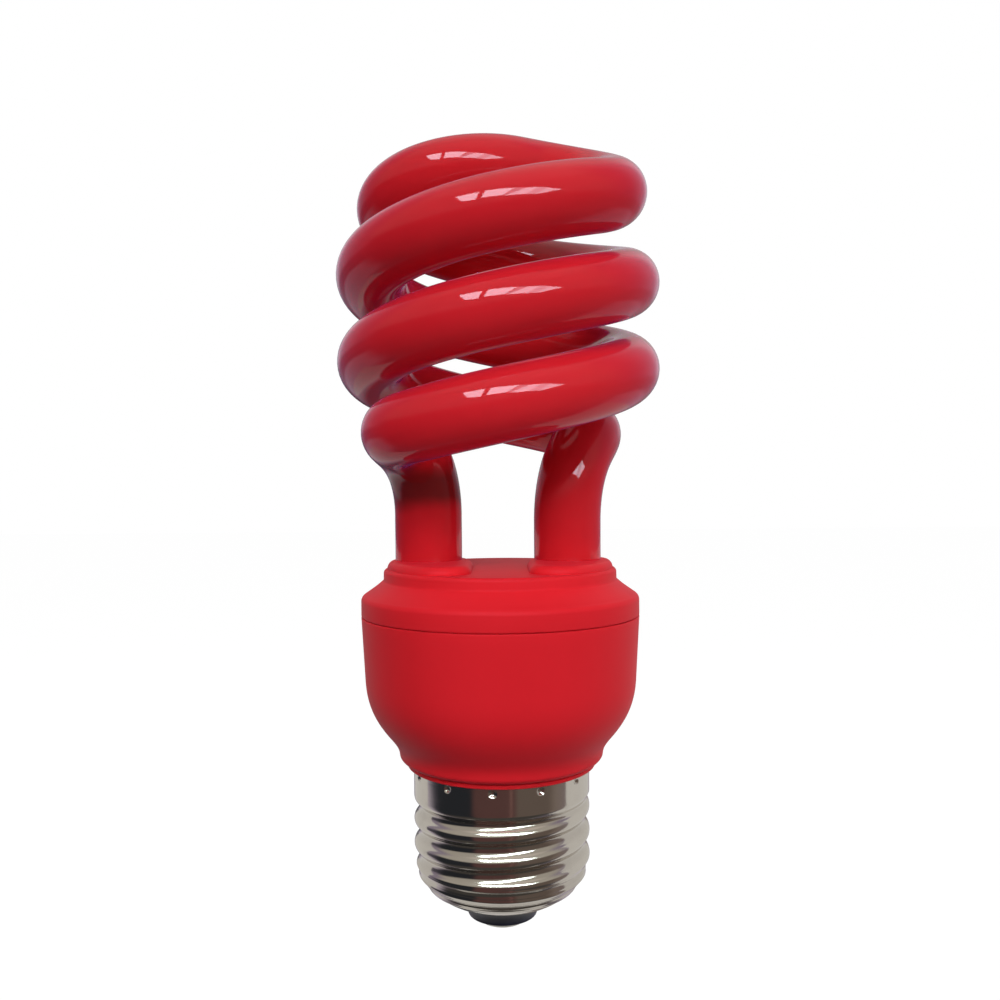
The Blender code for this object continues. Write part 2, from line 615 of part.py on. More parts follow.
def make_circuit_board():
    points = [(0.0, BOARD_TOP_Z), (BOARD_RADIUS, BOARD_TOP_Z), (BOARD_RADIUS, BOARD_Z), (0.0, BOARD_Z)]
    add_turned("circuit_board", points, 32, False, ((0.36, 0.24, 0.10), 0.6))


def core_outline():
    half, leg, middle = CORE_WIDTH / 2, CORE_OUTER_LEG, CORE_MIDDLE_LEG / 2
    high, back = CORE_HALF_HEIGHT, CORE_BACK
    return [(-half, 0.0), (half, 0.0), (half, -high), (half - leg, -high), (half - leg, -back),
            (middle, -back), (middle, -high), (-middle, -high), (-middle, -back),
            (leg - half, -back), (leg - half, -high), (-half, -high)]


def make_choke():
    """Two E cores stand back to back on the bobbin's square tube, with the winding round it."""
    ferrite = ((0.045, 0.045, 0.05), 0.5)
    for name, upper in (("choke_core_upper", True), ("choke_core_lower", False)):
        core = add_part(name, outline_curve(name, core_outline(), CORE_DEPTH), *ferrite)
        low_z = UNDER_BOARD_Z - 2 * CORE_HALF_HEIGHT - CORE_AIR_GAP
        core.location = (CHOKE_X, 0.0, UNDER_BOARD_Z if upper else low_z)
        core.rotation_euler = (pi / 2 if upper else -pi / 2, 0.0, pi / 2)
    window_high = UNDER_BOARD_Z - CORE_BACK - FIT
    window_low = UNDER_BOARD_Z - 2 * CORE_HALF_HEIGHT - CORE_AIR_GAP + CORE_BACK + FIT
    middle_z = (window_high + window_low) / 2
    height = window_high - window_low
    flange_y = CORE_WIDTH - 2 * CORE_OUTER_LEG - 2 * FIT
    hole = (CORE_DEPTH + 2 * FIT, CORE_MIDDLE_LEG + 2 * FIT)
    tube = (hole[0] + 2 * BOBBIN_TUBE_WALL, hole[1] + 2 * BOBBIN_TUBE_WALL)
    place = (CHOKE_X, 0.0, middle_z)
    bobbin = add_part("choke_bobbin", box_mesh("choke_bobbin", (*tube, height)), (0.05, 0.05, 0.055), 0.5,
                      location=place)
    for name, side in (("flange_high", 1), ("flange_low", -1)):
        flange = add_cutter(name, box_mesh(name, (BOBBIN_WIDTH, flange_y, BOBBIN_FLANGE)),
                            (CHOKE_X, 0.0, middle_z + side * (height - BOBBIN_FLANGE) / 2))
        add_boolean(bobbin, flange, "UNION")
    passage = add_cutter("bobbin_passage", box_mesh("bobbin_passage", (*hole, 2 * height)), place)
    add_boolean(bobbin, passage, "DIFFERENCE")
    coil = (BOBBIN_WIDTH - 2 * WINDING_INSET, flange_y - 2 * WINDING_INSET, height - 2 * BOBBIN_FLANGE - 2 * FIT)
    winding = add_part("choke_winding", box_mesh("choke_winding", coil), (0.55, 0.20, 0.06), 0.35, 0.6,
                       location=place)
    add_bevel(winding, WINDING_ROUND, 2)
    inner = (tube[0] + 2 * FIT, tube[1] + 2 * FIT, 2 * height)
    former = add_cutter("winding_passage", box_mesh("winding_passage", inner), place)
    add_boolean(winding, former, "DIFFERENCE")


def make_reservoir():
    """Electrolytic capacitor, hung under the board with its crimped end up."""
    r, high, low = RESERVOIR_RADIUS, UNDER_BOARD_Z, UNDER_BOARD_Z - RESERVOIR_LENGTH
    groove, edge = high - RESERVOIR_GROOVE, RESERVOIR_EDGE
    points = [(0.0, high), (r - edge, high), (r, high - edge), (r, groove + edge), (r - edge, groove),
              (r, groove - edge), (r, low + edge), (r - edge, low), (0.0, low)]
    add_turned("electrolytic_capacitor", points, 20, False, ((0.03, 0.05, 0.16), 0.35), (RESERVOIR_X, 0.0, 0.0))


def add_film_capacitor(name, x, y, turn):
    body = add_part(name, box_mesh(name, (FILM_LENGTH, FILM_WIDTH, FILM_HEIGHT)), (0.34, 0.06, 0.03), 0.3,
                    location=(x, y, UNDER_BOARD_Z - FILM_HEIGHT / 2), turn=turn)
    add_bevel(body, FILM_ROUND, 2)


def add_transistor(name, x):
    """A moulded case with a flat face and a round back."""
    half, depth = TRANSISTOR_WIDTH / 2, TRANSISTOR_DEPTH
    flat = depth - half
    start = acos(flat / half) - pi / 2
    turns = [start + (pi - 2 * start) * i / 8 for i in range(9)]
    outline = [(half * cos(a), half * sin(a)) for a in turns]
    centre_y = TRANSISTOR_Y - depth / 2 + flat
    body = add_part(name, outline_curve(name, outline, TRANSISTOR_HEIGHT), (0.02, 0.02, 0.022), 0.5)
    body.location = (x, centre_y, UNDER_BOARD_Z - TRANSISTOR_HEIGHT / 2)


def add_axial(name, radius, length, span, place, turn, look):
    """A part between two bent leads, which stand on the board's underside."""
    lead = LEAD_RADIUS / radius
    drop = -(radius + PART_GAP)
    half, tip = span / 2, length / 2
    side = [(half, 0.0, lead), (half, drop, lead), (tip + STEP_NUDGE, drop, lead), (tip, drop, 0.8),
            (tip * 0.8, drop, 1.0)]
    shape = [(-x, z, width) for x, z, width in side] + side[::-1]
    points = [Vector((x, 0.0, z)) for x, z, _ in shape]
    data = tube_curve(name, points, radius, [width for _, _, width in shape])
    add_part(name, data, *look, location=(*place, UNDER_BOARD_Z), turn=turn)


def make_toroid():
    """Drive transformer: a ferrite ring with three short windings of magnet wire."""
    place = (TOROID_X, TOROID_Y, UNDER_BOARD_Z - 2 * MAGNET_WIRE_RADIUS - FIT - TOROID_HEIGHT / 2)
    half, edge = TOROID_HEIGHT / 2, TOROID_EDGE
    points = [(TOROID_RADIUS - edge, half), (TOROID_RADIUS, half - edge), (TOROID_RADIUS, edge - half),
              (TOROID_RADIUS - edge, -half), (TOROID_BORE_RADIUS, -half), (TOROID_BORE_RADIUS, half)]
    add_turned("toroid_core", points, 20, True, ((0.05, 0.13, 0.07), 0.4), place)
    middle = (TOROID_RADIUS + TOROID_BORE_RADIUS) / 2
    clear = FIT + MAGNET_WIRE_RADIUS
    reach_r = (TOROID_RADIUS - TOROID_BORE_RADIUS) / 2 + clear
    reach_z = half + clear
    turns = TOROID_WINDING_TURNS
    for number, start in enumerate(TOROID_WINDING_ANGLES, 1):
        path = []
        for i in range(4 * turns + 1):
            around = radians(start + TOROID_TURN_ANGLE * (i / 4 - turns / 2))
            side_r = reach_r * (1, -1, -1, 1)[i % 4]
            side_z = reach_z * (1, 1, -1, -1)[i % 4]
            path.append(Vector(((middle + side_r) * cos(around), (middle + side_r) * sin(around), side_z)))
        name = "toroid_winding_%d" % number
        add_part(name, tube_curve(name, path, MAGNET_WIRE_RADIUS, sides=6), (0.60, 0.22, 0.06), 0.35, 0.6,
                 location=place)


def make_small_parts():
    diode = ((0.02, 0.02, 0.022), 0.4)
    band = DIODE_SPAN / 2 + LEAD_RADIUS + PART_GAP
    add_axial("diode_1", DIODE_RADIUS, DIODE_LENGTH, DIODE_SPAN, (DIODE_1_X, -band), 90, diode)
    add_axial("diode_2", DIODE_RADIUS, DIODE_LENGTH, DIODE_SPAN, (DIODE_1_X, band), 90, diode)
    add_axial("diode_3", DIODE_RADIUS, DIODE_LENGTH, DIODE_SPAN, (DIODE_3_X, 0.0), 90, diode)
    add_axial("diode_4", DIODE_RADIUS, DIODE_LENGTH, DIODE_SPAN, (DIODE_4_X, 0.0), 90, diode)
    add_axial("diac", DIAC_RADIUS, DIAC_LENGTH, DIAC_SPAN, (FILM_1_X, DIAC_Y), 0, ((0.05, 0.10, 0.30), 0.3))
    beige = ((0.55, 0.42, 0.26), 0.5)
    places = [(RESISTOR_12_X, RESISTOR_12_Y), (RESISTOR_12_X, -RESISTOR_12_Y),
              (TRANSISTOR_1_X, RESISTOR_3_Y), (FILM_2_X, RESISTOR_4_Y)]
    for number, place in enumerate(places, 1):
        add_axial("resistor_%d" % number, RESISTOR_RADIUS, RESISTOR_LENGTH, RESISTOR_SPAN, place, 0, beige)


# Wires

def make_line_wire():
    """The sleeved fusible resistor stands on the eyelet, and the wire runs on from it to the board."""
    low = eyelet_top() + FIT
    body_low = low + FUSE_LEAD_LENGTH
    body_high = body_low + FUSE_LENGTH
    top = body_high + FUSE_LEAD_LENGTH
    thin, edge = LEAD_RADIUS / FUSE_RADIUS, FUSE_EDGE
    shape = [(low, thin), (body_low, thin), (body_low + STEP_NUDGE, 0.85), (body_low + edge, 1.0),
             (body_high - edge, 1.0), (body_high - STEP_NUDGE, 0.85), (body_high, thin), (top, thin)]
    points = [Vector((WIRE_LANE_X * (z - low) / (top - low), 0.0, z)) for z, _ in shape]
    data = tube_curve("fusible_resistor", points, FUSE_RADIUS, [width for _, width in shape])
    add_part("fusible_resistor", data, (0.50, 0.46, 0.40), 0.6)
    run = [Vector((WIRE_LANE_X, 0.0, top + FIT)), Vector((WIRE_LANE_X, 0.0, UNDER_BOARD_Z))]
    add_part("line_wire", tube_curve("line_wire", run, MAINS_WIRE_RADIUS), (0.02, 0.02, 0.02), 0.5)


def make_neutral_wire():
    """From the board down through the spigot to the inside of the shell, below the spigot's end."""
    spigot_inside = SHELL_RADIUS - SHELL_WALL - FIT - SPIGOT_WALL
    inside_y = -(spigot_inside - FIT - MAINS_WIRE_RADIUS)
    reach_y = -(SHELL_RADIUS - THREAD_DEPTH - SHELL_WALL - FIT - MAINS_WIRE_RADIUS / 2)
    end_z = THREAD_HIGH_Z - 3 * MAINS_WIRE_RADIUS
    ends = [(WIRE_LANE_X, NEUTRAL_WIRE_Y, UNDER_BOARD_Z), (WIRE_LANE_X, NEUTRAL_WIRE_Y, BOWL_LOW_Z),
            (WIRE_LANE_X, inside_y, LIP_Z), (WIRE_LANE_X, inside_y, THREAD_HIGH_Z + FIT)]
    points = [Vector(p) for p in ends]
    points += bezier_run(ends[3], (WIRE_LANE_X, inside_y, THREAD_HIGH_Z - MAINS_WIRE_RADIUS),
                         (WIRE_LANE_X, inside_y, end_z), (WIRE_LANE_X, reach_y, end_z), 4)
    add_part("neutral_wire", tube_curve("neutral_wire", points, MAINS_WIRE_RADIUS), (0.75, 0.75, 0.72), 0.5)


def make_tube_leads():
    """Each tube end has two wires, wrapped on square pins that stand on the board."""
    pin_z = BOARD_TOP_Z + FIT
    loop = hypot(WRAP_PIN_WIDTH, WRAP_PIN_WIDTH) / 2 + FIT + LEAD_RADIUS
    number = 0
    for side_x in (-1, 1):
        for side_y in (-1, 1):
            number += 1
            name = "wrap_pin_%d" % number
            size = (WRAP_PIN_WIDTH, WRAP_PIN_WIDTH, WRAP_PIN_HEIGHT)
            place = (side_x * WRAP_PIN_X, side_y * WRAP_PIN_Y, pin_z + WRAP_PIN_HEIGHT / 2)
            add_part(name, box_mesh(name, size), (0.70, 0.68, 0.62), 0.3, 1.0, location=place)
            start = Vector((side_x * LEG_OFFSET, side_y * FILAMENT_SPACING / 2,
                            LEG_BOTTOM_Z - FIT))
            wrap_z = pin_z + WRAP_PIN_HEIGHT / 2
            path = [start, start - Vector((0.0, 0.0, 2 * LEAD_RADIUS))]
            for i in range(round(WRAP_CORNERS * WRAP_TURNS) + 1):
                turns = i / WRAP_CORNERS
                turn = -side_y * pi / 2 + side_x * side_y * tau * turns
                drop = 3 * LEAD_RADIUS * turns
                path.append(Vector((place[0] + loop * cos(turn), place[1] + loop * sin(turn), wrap_z - drop)))
            name = "filament_lead_%d" % number
            add_part(name, tube_curve(name, path, LEAD_RADIUS, sides=6), (0.66, 0.64, 0.60), 0.35, 1.0)


clear_scene()
parts = new_collection("compact_fluorescent_bulb")
cutters = new_collection("cutters")
bulb = bpy.data.objects.new("bulb", None)
parts.objects.link(bulb)

make_spiral_tube()
make_top_cover()
make_lower_housing()
make_screw_shell()
make_base_insulator()
make_centre_contact()
make_circuit_board()
make_choke()
make_reservoir()
add_film_capacitor("film_capacitor_1", FILM_1_X, FILM_12_Y, 0)
add_film_capacitor("film_capacitor_2", FILM_2_X, -FILM_12_Y, 0)
add_film_capacitor("film_capacitor_3", FILM_3_X, 0.0, 90)
add_transistor("transistor_1", TRANSISTOR_1_X)
add_transistor("transistor_2", TRANSISTOR_2_X)
make_toroid()
make_small_parts()
make_line_wire()
make_neutral_wire()
make_tube_leads()
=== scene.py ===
"""Looks of the red spiral bulb: fine meshes over the packed model, procedural finishes, light and camera.

Metres, +Z up the bulb's axis from the centre contact's flat face, -Y towards the camera.
"""

from math import atan2, cos, degrees, exp, hypot, pi, radians, sin, tau

import bpy
from bpy.props import FloatProperty, FloatVectorProperty, IntProperty, PointerProperty
from mathutils import Matrix, Vector


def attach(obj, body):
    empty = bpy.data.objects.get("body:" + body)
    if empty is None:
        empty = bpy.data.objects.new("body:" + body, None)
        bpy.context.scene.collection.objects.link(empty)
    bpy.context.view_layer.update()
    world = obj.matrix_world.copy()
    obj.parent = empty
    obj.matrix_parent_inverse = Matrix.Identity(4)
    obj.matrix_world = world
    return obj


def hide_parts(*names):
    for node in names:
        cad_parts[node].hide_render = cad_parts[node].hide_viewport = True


bl_info = {
    "name": "Spiral Bulb Looks",
    "version": (1, 0, 0),
    "blender": (4, 5, 0),
    "location": "View3D > Sidebar > Bulb",
    "description": "Fine meshes and finishes for the packed spiral bulb, and its light and camera",
    "category": "Object",
}

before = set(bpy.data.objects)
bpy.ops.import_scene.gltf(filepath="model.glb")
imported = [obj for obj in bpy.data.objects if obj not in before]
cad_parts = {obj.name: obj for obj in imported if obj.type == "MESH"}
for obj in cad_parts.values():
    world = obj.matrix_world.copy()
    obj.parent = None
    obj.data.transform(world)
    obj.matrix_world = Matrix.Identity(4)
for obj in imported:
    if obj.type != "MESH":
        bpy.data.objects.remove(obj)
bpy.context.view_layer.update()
MM = 0.001


# What a user would change

def length(name, words, millimetres):
    return FloatProperty(name=name, description=words, default=millimetres * MM, precision=5,
                         unit="LENGTH", subtype="DISTANCE")


def angle(name, words, degrees):
    return FloatProperty(name=name, description=words, default=radians(degrees), subtype="ANGLE")


def count(name, words, value):
    return IntProperty(name=name, description=words, default=value, min=3)


def colour(name, words, rgb):
    return FloatVectorProperty(name=name, description=words, default=rgb, min=0.0, max=1.0, size=3,
                               subtype="COLOR")


class TubeSizes(bpy.types.PropertyGroup):
    """Shape of the glass tube."""
    radius: length("Radius", "Outer radius of the tube", 5.03)
    leg_offset: length("Leg offset", "From the bulb's axis to a leg's middle", 10.485)
    leg_low: length("Leg low", "Height of the legs' lower ends, inside the holder", 47.0)
    collar_top: length("Collar top", "Height of the collars, above which the tube leans", 54.7)
    leg_top: length("Leg top", "Height at which the legs stop being straight", 60.6)
    coil_radius: length("Coil radius", "Radius of the coil's centreline", 18.9)
    coil_low: length("Coil low", "Height at which the coil starts", 75.23)
    strand_rise: length("Strand rise", "From one strand up to the next", 12.64)
    coil_start: angle("Coil start", "Angle at which the left leg's strand starts", 243.0)
    coil_sweep: angle("Coil sweep", "Angle that each strand turns through", 432.6)
    coil_lean: angle("Coil lean", "How far the coil leans towards the front", 2.33)
    bridge_rise: length("Bridge rise", "From the coil's end to the bridge's top", 7.04)
    bridge_angle: angle("Bridge angle", "Direction of the bridge at its top", 33.9)
    bridge_right: length("Bridge right", "How far right of the axis the bridge's top is", 3.05)
    bridge_back: length("Bridge back", "How far behind the axis the bridge's top is", 0.75)
    leg_sway: length("Leg sway", "How far both legs stand to the left of their true place", 0.27)
    leg_handle: length("Leg handle", "Softness of the bend out of a leg", 15.6)
    coil_handle: length("Coil handle", "Softness of the bend into the coil", 13.6)
    left_side: length("Left strand, side", "Softness of the left strand's bend out of the coil", 9.94)
    left_top: length("Left strand, top", "Softness of the left strand's bend over the top", 12.87)
    right_side: length("Right strand, side", "Softness of the right strand's bend out of the coil", 13.88)
    right_top: length("Right strand, top", "Softness of the right strand's bend over the top", 15.31)


class HousingSizes(bpy.types.PropertyGroup):
    """Shape of the tube holder and of the cup under it."""
    seam_radius: length("Seam radius", "Radius of both mouldings at the seam", 20.86)
    seam_low: length("Seam low", "Height of the cup's rim", 46.3)
    seam_high: length("Seam high", "Height of the holder's lower edge", 46.42)
    shoulder: length("Shoulder", "Height at which the holder's band starts to round over", 48.6)
    shoulder_round: length("Shoulder round", "Radius of the rounding over the band", 1.0)
    platform_radius: length("Platform radius", "Radius of the raised platform", 17.5)
    platform_low: length("Platform low", "Height of the platform's foot", 51.5)
    platform: length("Platform", "Height of the platform's flat top", 53.3)
    pad_radius: length("Pad radius", "Outer radius of the two raised pads round the legs", 16.95)
    pad_top: length("Pad top", "Height of the pads", 54.5)
    pad_corner: length("Pad corner", "Corner radius of the pads", 4.2)
    pad_round: length("Pad round", "Radius of the pads' top edges", 1.15)
    channel: length("Channel", "Half width of the channel between the pads", 4.1)
    edge_round: length("Edge round", "Radius of the mouldings' small edges", 0.6)
    bowl_radius: length("Bowl radius", "Radius where the cup starts to curve in", 20.3)
    bowl_high: length("Bowl high", "Height where the cup starts to curve in", 36.5)
    flare_radius: length("Flare radius", "Radius where the bowl meets the neck", 17.0)
    flare: length("Flare", "Height where the bowl meets the neck", 28.75)
    lip_radius: length("Lip radius", "Radius of the lip over the cap", 15.3)
    lip_high: length("Lip high", "Height at which the lip starts to round in", 25.6)
    bead: length("Bead", "Height of the bead under the lip", 0.66)
    bead_radius: length("Bead radius", "Radius at which the bead stands out of the lip", 13.95)
    lip: length("Lip", "Height of the lip's underside", 23.9)


class CapSizes(bpy.types.PropertyGroup):
    """Shape of the screw cap, its insulator and its centre contact."""
    radius: length("Radius", "Radius of the shell over its crests", 13.2)
    foot_step: length("Foot step", "How far the foot is drawn in under the thread", 0.45)
    top: length("Top", "Height of the shell's upper edge, under the lip", 23.95)
    thread_high: length("Thread high", "Height of the thread's upper end", 19.9)
    thread_low: length("Thread low", "Height of the thread's lower end", 9.0)
    thread_pitch: length("Thread pitch", "Rise of the thread in one turn", 3.629)
    thread_depth: length("Thread depth", "Depth of the rolled thread", 0.8)
    thread_fade: length("Thread fade", "Height over which the thread runs out", 1.6)
    crest: length("Crest", "Height of a crest at the front", 9.5)
    mouth_radius: length("Mouth radius", "Radius of the shell's lower opening", 7.0)
    mouth: length("Mouth", "Height of the shell's lower opening", 3.5)
    dents: count("Dents", "Crimp dents round the shell", 12)
    dent_angle: angle("Dent angle", "From the front to the first dent", -5.6)
    dent_height: length("Dent height", "Height of the crimp dents", 23.0)
    dent_radius: length("Dent radius", "Half width of a crimp dent", 0.45)
    dent_depth: length("Dent depth", "Depth of a crimp dent", 0.34)
    insulator_radius: length("Insulator radius", "Radius of the insulator's tip", 5.2)
    insulator_tip: length("Insulator tip", "Height of the insulator's tip", 1.1)
    contact_radius: length("Contact radius", "Radius of the contact's rim", 4.0)
    contact_flat: length("Contact flat", "Radius of the contact's flat face", 2.8)


class BulbColours(bpy.types.PropertyGroup):
    """Colours of the finishes."""
    coating: colour("Coating", "Red lacquer on the glass tube", (0.58, 0.012, 0.020))
    coating_thin: colour("Thin coating", "The lacquer where it is thinner", (0.63, 0.016, 0.024))
    # Colour of the painted shade on the left leg, under the lowest strand
    painted_leg_shade: colour("Painted leg shade", "Darkening beside the electrode in the left leg", (0.13, 0.012, 0.012))
    plastic: colour("Plastic", "Red moulded plastic", (0.745, 0.018, 0.027))
    plastic_flow: colour("Flow marks", "The plastic where it flowed slower", (0.70, 0.016, 0.024))
    nickel: colour("Nickel", "Plating on the shell", (0.72, 0.68, 0.62))
    # Colour of the random stains and of the painted shade in the thread's grooves
    nickel_stain_and_shade: colour("Stained and shaded nickel", "Plating in the thread's grooves", (0.58, 0.54, 0.49))
    insulator: colour("Insulator", "Dark glass under the shell", (0.012, 0.013, 0.026))
    tin: colour("Tin", "Tinned contact, pins and leads", (0.60, 0.58, 0.54))
    laminate: colour("Laminate", "Brown paper laminate of the board", (0.36, 0.24, 0.10))
    ferrite: colour("Ferrite", "Dark ferrite of the choke", (0.045, 0.045, 0.05))
    copper: colour("Copper", "Enamelled copper wire", (0.60, 0.22, 0.06))


# Shader expressions

class Socket:
    """One output of a node. Arithmetic on it adds the Math node that it stands for."""

    def __init__(self, nodes, link):
        self.nodes = nodes
        self.link = link

    def math(self, operation, *others):
        inputs = dict(enumerate((self, *others)))
        return self.nodes.add("ShaderNodeMath", {"operation": operation}, inputs)

    def reflected(self, operation, other):
        return self.nodes.add("ShaderNodeMath", {"operation": operation}, {0: other, 1: self})

    def __add__(self, other):
        return self.math("ADD", other)

    __radd__ = __add__

    def __mul__(self, other):
        return self.math("MULTIPLY", other)

    __rmul__ = __mul__

    def __sub__(self, other):
        return self.math("SUBTRACT", other)

    def __rsub__(self, other):
        return self.reflected("SUBTRACT", other)

    def __truediv__(self, other):
        return self.math("DIVIDE", other)

    def __rtruediv__(self, other):
        return self.reflected("DIVIDE", other)

    def __abs__(self):
        return self.math("ABSOLUTE")

    def smooth(self, low, high):
        """0 below low, 1 above high and a soft step between. Low may be the larger one."""
        return self.nodes.add("ShaderNodeMapRange", {"interpolation_type": "SMOOTHSTEP"},
                              {"Value": self, "From Min": low, "From Max": high})

    def fade(self, start, end):
        """The same soft step for an angle, from a start to an end in degrees."""
        return self.smooth(radians(start), radians(end))


class Nodes:
    """Builds one node tree."""

    def __init__(self, tree):
        self.tree = tree

    def add(self, kind, settings=None, inputs=None, output=0):
        """A new node. Its settings are set first, then its sockets. Returns the asked output."""
        node = self.tree.nodes.new(kind)
        for name, value in (settings or {}).items():
            setattr(node, name, value)
        for name, value in (inputs or {}).items():
            self.join(value, node.inputs[name])
        return Socket(self, node.outputs[output]) if node.outputs else node

    def join(self, value, socket):
        if isinstance(value, Socket):
            self.tree.links.new(value.link, socket)
        else:
            socket.default_value = value

    def mix(self, factor, first, second):
        """Colours mixed by a factor. A Mix node has its colours at inputs 6 and 7 and at output 2."""
        first, second = (tint if isinstance(tint, Socket) else (*tint, 1.0) for tint in (first, second))
        return self.add("ShaderNodeMix", {"data_type": "RGBA"}, {0: factor, 6: first, 7: second}, 2)

    def place(self):
        """Position on the piece, in metres."""
        return self.add("ShaderNodeTexCoord", output="Object")

    def scaled(self, vector, scale):
        return self.add("ShaderNodeMapping", inputs={"Vector": vector, "Scale": scale})

    def axes(self, vector):
        """X, Y and Z of a vector."""
        x = self.add("ShaderNodeSeparateXYZ", inputs={"Vector": vector})
        return [Socket(self, output) for output in x.link.node.outputs]

    def noise(self, vector, scale, detail=2.0, roughness=0.5):
        inputs = {"Vector": vector, "Scale": scale, "Detail": detail, "Roughness": roughness}
        return self.add("ShaderNodeTexNoise", inputs=inputs)

    def bands(self, vector, way, scale, distortion, detail=2.0):
        """Soft stripes, one after the other along a direction."""
        inputs = {"Vector": vector, "Scale": scale, "Distortion": distortion, "Detail": detail}
        return self.add("ShaderNodeTexWave", {"wave_type": "BANDS", "bands_direction": way}, inputs, "Fac")


class Finish(Nodes):
    """A material round one Principled shader, whose plain values are set by name."""

    def __init__(self, name, **plain):
        self.material = bpy.data.materials.new(name)
        self.material.use_nodes = True
        super().__init__(self.material.node_tree)
        self.shader = self.tree.nodes["Principled BSDF"]
        for label, value in plain.items():
            self.set(label, value)

    def set(self, label, value):
        """Plain value or link of the shader's socket that the label names."""
        name = label.replace("_", " ").title().replace("Ior", "IOR")
        if isinstance(value, tuple):
            value = (*value, 1.0)
        self.join(value, self.shader.inputs[name])

    def paint(self, factor, first, second):
        """Base colour between two colours."""
        self.set("base_color", self.mix(factor, first, second))

    def bump(self, height, distance, strength):
        inputs = {"Height": height, "Distance": distance, "Strength": strength}
        self.set("normal", self.add("ShaderNodeBump", inputs=inputs))


# Finishes

# Violet sheen that both reds have at grazing angles
RED_SHEEN = (0.6, 0.2, 1.0)


def shaded(tint, level):
    """A colour made darker or lighter."""
    return tuple(level * part for part in tint)


def coating_finish(colours):
    """Glossy lacquer on glass, thinner here and there, with a faint orange peel and painted shade on the
    left leg under the lowest strand.
    """
    made = Finish("red_coating", ior=1.42, specular_tint=(1.0, 0.85, 1.0), sheen_weight=0.18,
                  sheen_roughness=0.35, sheen_tint=RED_SHEEN)
    place = made.place()
    thin = made.noise(place, 45.0, 3.0).smooth(0.35, 0.75)
    coat = made.mix(thin, colours.coating, colours.coating_thin)
    x, _, z = made.axes(place)
    ragged = z / MM + made.noise(place, 200.0) * 2.0 - 1.0
    # Painted shade: the left leg's lacquer is darkened where it stands under the lowest strand
    mark_low, mark_high, mark_fade, mark_left = 61.5, 70.0, 3.0, -4.0 * MM
    mark = ragged.smooth(mark_low, mark_low + mark_fade) * ragged.smooth(mark_high, mark_high - mark_fade)
    made.paint(mark * x.smooth(0.0, mark_left) * 0.85, coat, colours.painted_leg_shade)
    made.set("roughness", made.noise(place, 160.0) * 0.03 + 0.025)
    made.bump(made.noise(place, 300.0, 1.0), 0.001 * MM, 0.25)
    return made.material


def plastic_finish(colours):
    """Satin moulded plastic with a fine mould texture and soft flow marks."""
    made = Finish("red_plastic", ior=1.45, specular_ior_level=0.06, specular_tint=(1.0, 0.7, 1.0),
                  sheen_weight=0.02, sheen_roughness=0.4, sheen_tint=RED_SHEEN)
    place = made.place()
    flow = made.noise(made.scaled(place, (1.0, 1.0, 0.35)), 55.0, 3.0)
    made.paint(flow.smooth(0.35, 0.7), colours.plastic, colours.plastic_flow)
    made.set("roughness", made.noise(place, 90.0) * 0.08 + 0.42)
    made.bump(made.noise(place, 5200.0), 0.01 * MM, 0.35)
    return made.material


def nickel_finish(colours, size):
    """Bright plating, darker with random stains, and with painted shade in the thread's grooves."""
    made = Finish("nickel_plating", metallic=1.0)
    place = made.place()
    x, y, _ = made.axes(place)
    reach = (x * x + y * y).math("SQRT")
    groove = reach.smooth(size.radius - 0.1 * size.thread_depth, size.radius - size.thread_depth)
    stain = made.noise(place, 260.0, 4.0, 0.65).smooth(0.45, 0.7)
    rolled = made.noise(made.scaled(place, (1.0, 1.0, 26.0)), 70.0, 3.0)
    # Painted shade darkens the thread's grooves; the stains are random
    made.paint(groove * 0.5 + stain * 0.25, colours.nickel, colours.nickel_stain_and_shade)
    made.set("roughness", rolled * 0.06 + stain * 0.05 + 0.085)
    made.bump(rolled, 0.02 * MM, 0.3)
    return made.material


def insulator_finish(colours):
    """Dark pressed glass, clouded, with a fire-polished skin."""
    made = Finish("dark_glass", ior=1.5, specular_ior_level=0.15)
    place = made.place()
    cloud = made.noise(place, 320.0, 3.0)
    made.paint(cloud.smooth(0.4, 0.8), colours.insulator, shaded(colours.insulator, 2.2))
    made.set("roughness", cloud * 0.1 + 0.30)
    made.bump(made.noise(place, 700.0), 0.02 * MM, 0.4)
    return made.material


def metal_finish(name, tint, roughness, grain=900.0):
    """Drawn or tinned metal with fine scratches."""
    made = Finish(name, metallic=1.0)
    scuff = made.noise(made.scaled(made.place(), (1.0, 6.0, 1.0)), grain, 3.0)
    made.paint(scuff.smooth(0.3, 0.8), tint, shaded(tint, 0.72))
    made.set("roughness", scuff * 0.2 + roughness)
    made.bump(scuff, 0.02 * MM, 0.4)
    return made.material


def body_finish(name, tint, roughness, grain, depth=0.02 * MM, spread=0.75):
    """Moulded, dipped, fired or lacquered skin: speckled colour and a surface to suit."""
    made = Finish(name)
    speckle = made.noise(made.place(), grain, 3.0, 0.6)
    made.paint(speckle.smooth(0.3, 0.75), tint, shaded(tint, spread))
    made.set("roughness", speckle * 0.15 + roughness)
    made.bump(speckle, depth, 0.5)
    return made.material


def wound_finish(name, tint):
    """Enamelled wire laid side by side, with a groove between its layers that painted shade darkens."""
    made = Finish(name, metallic=0.6, coat_weight=0.6, coat_roughness=0.12)
    layers = made.bands(made.place(), "Z", 125.0, 0.6, 1.0)
    # Painted shade: the colour darkens in the grooves between the turns
    made.paint(layers, shaded(tint, 0.45), tint)
    made.set("roughness", 0.45 - layers * 0.15)
    made.bump(layers, 0.08 * MM, 0.8)
    return made.material


def sleeve_finish(name, tint):
    """Woven glass sleeve: two crossed sets of yarn."""
    made = Finish(name)
    place = made.place()
    weave = made.bands(place, "DIAGONAL", 110.0, 0.3) * made.bands(place, "Z", 110.0, 0.3)
    made.paint(weave, shaded(tint, 0.6), tint)
    made.set("roughness", 0.8 - weave * 0.15)
    made.bump(weave, 0.08 * MM, 0.8)
    return made.material


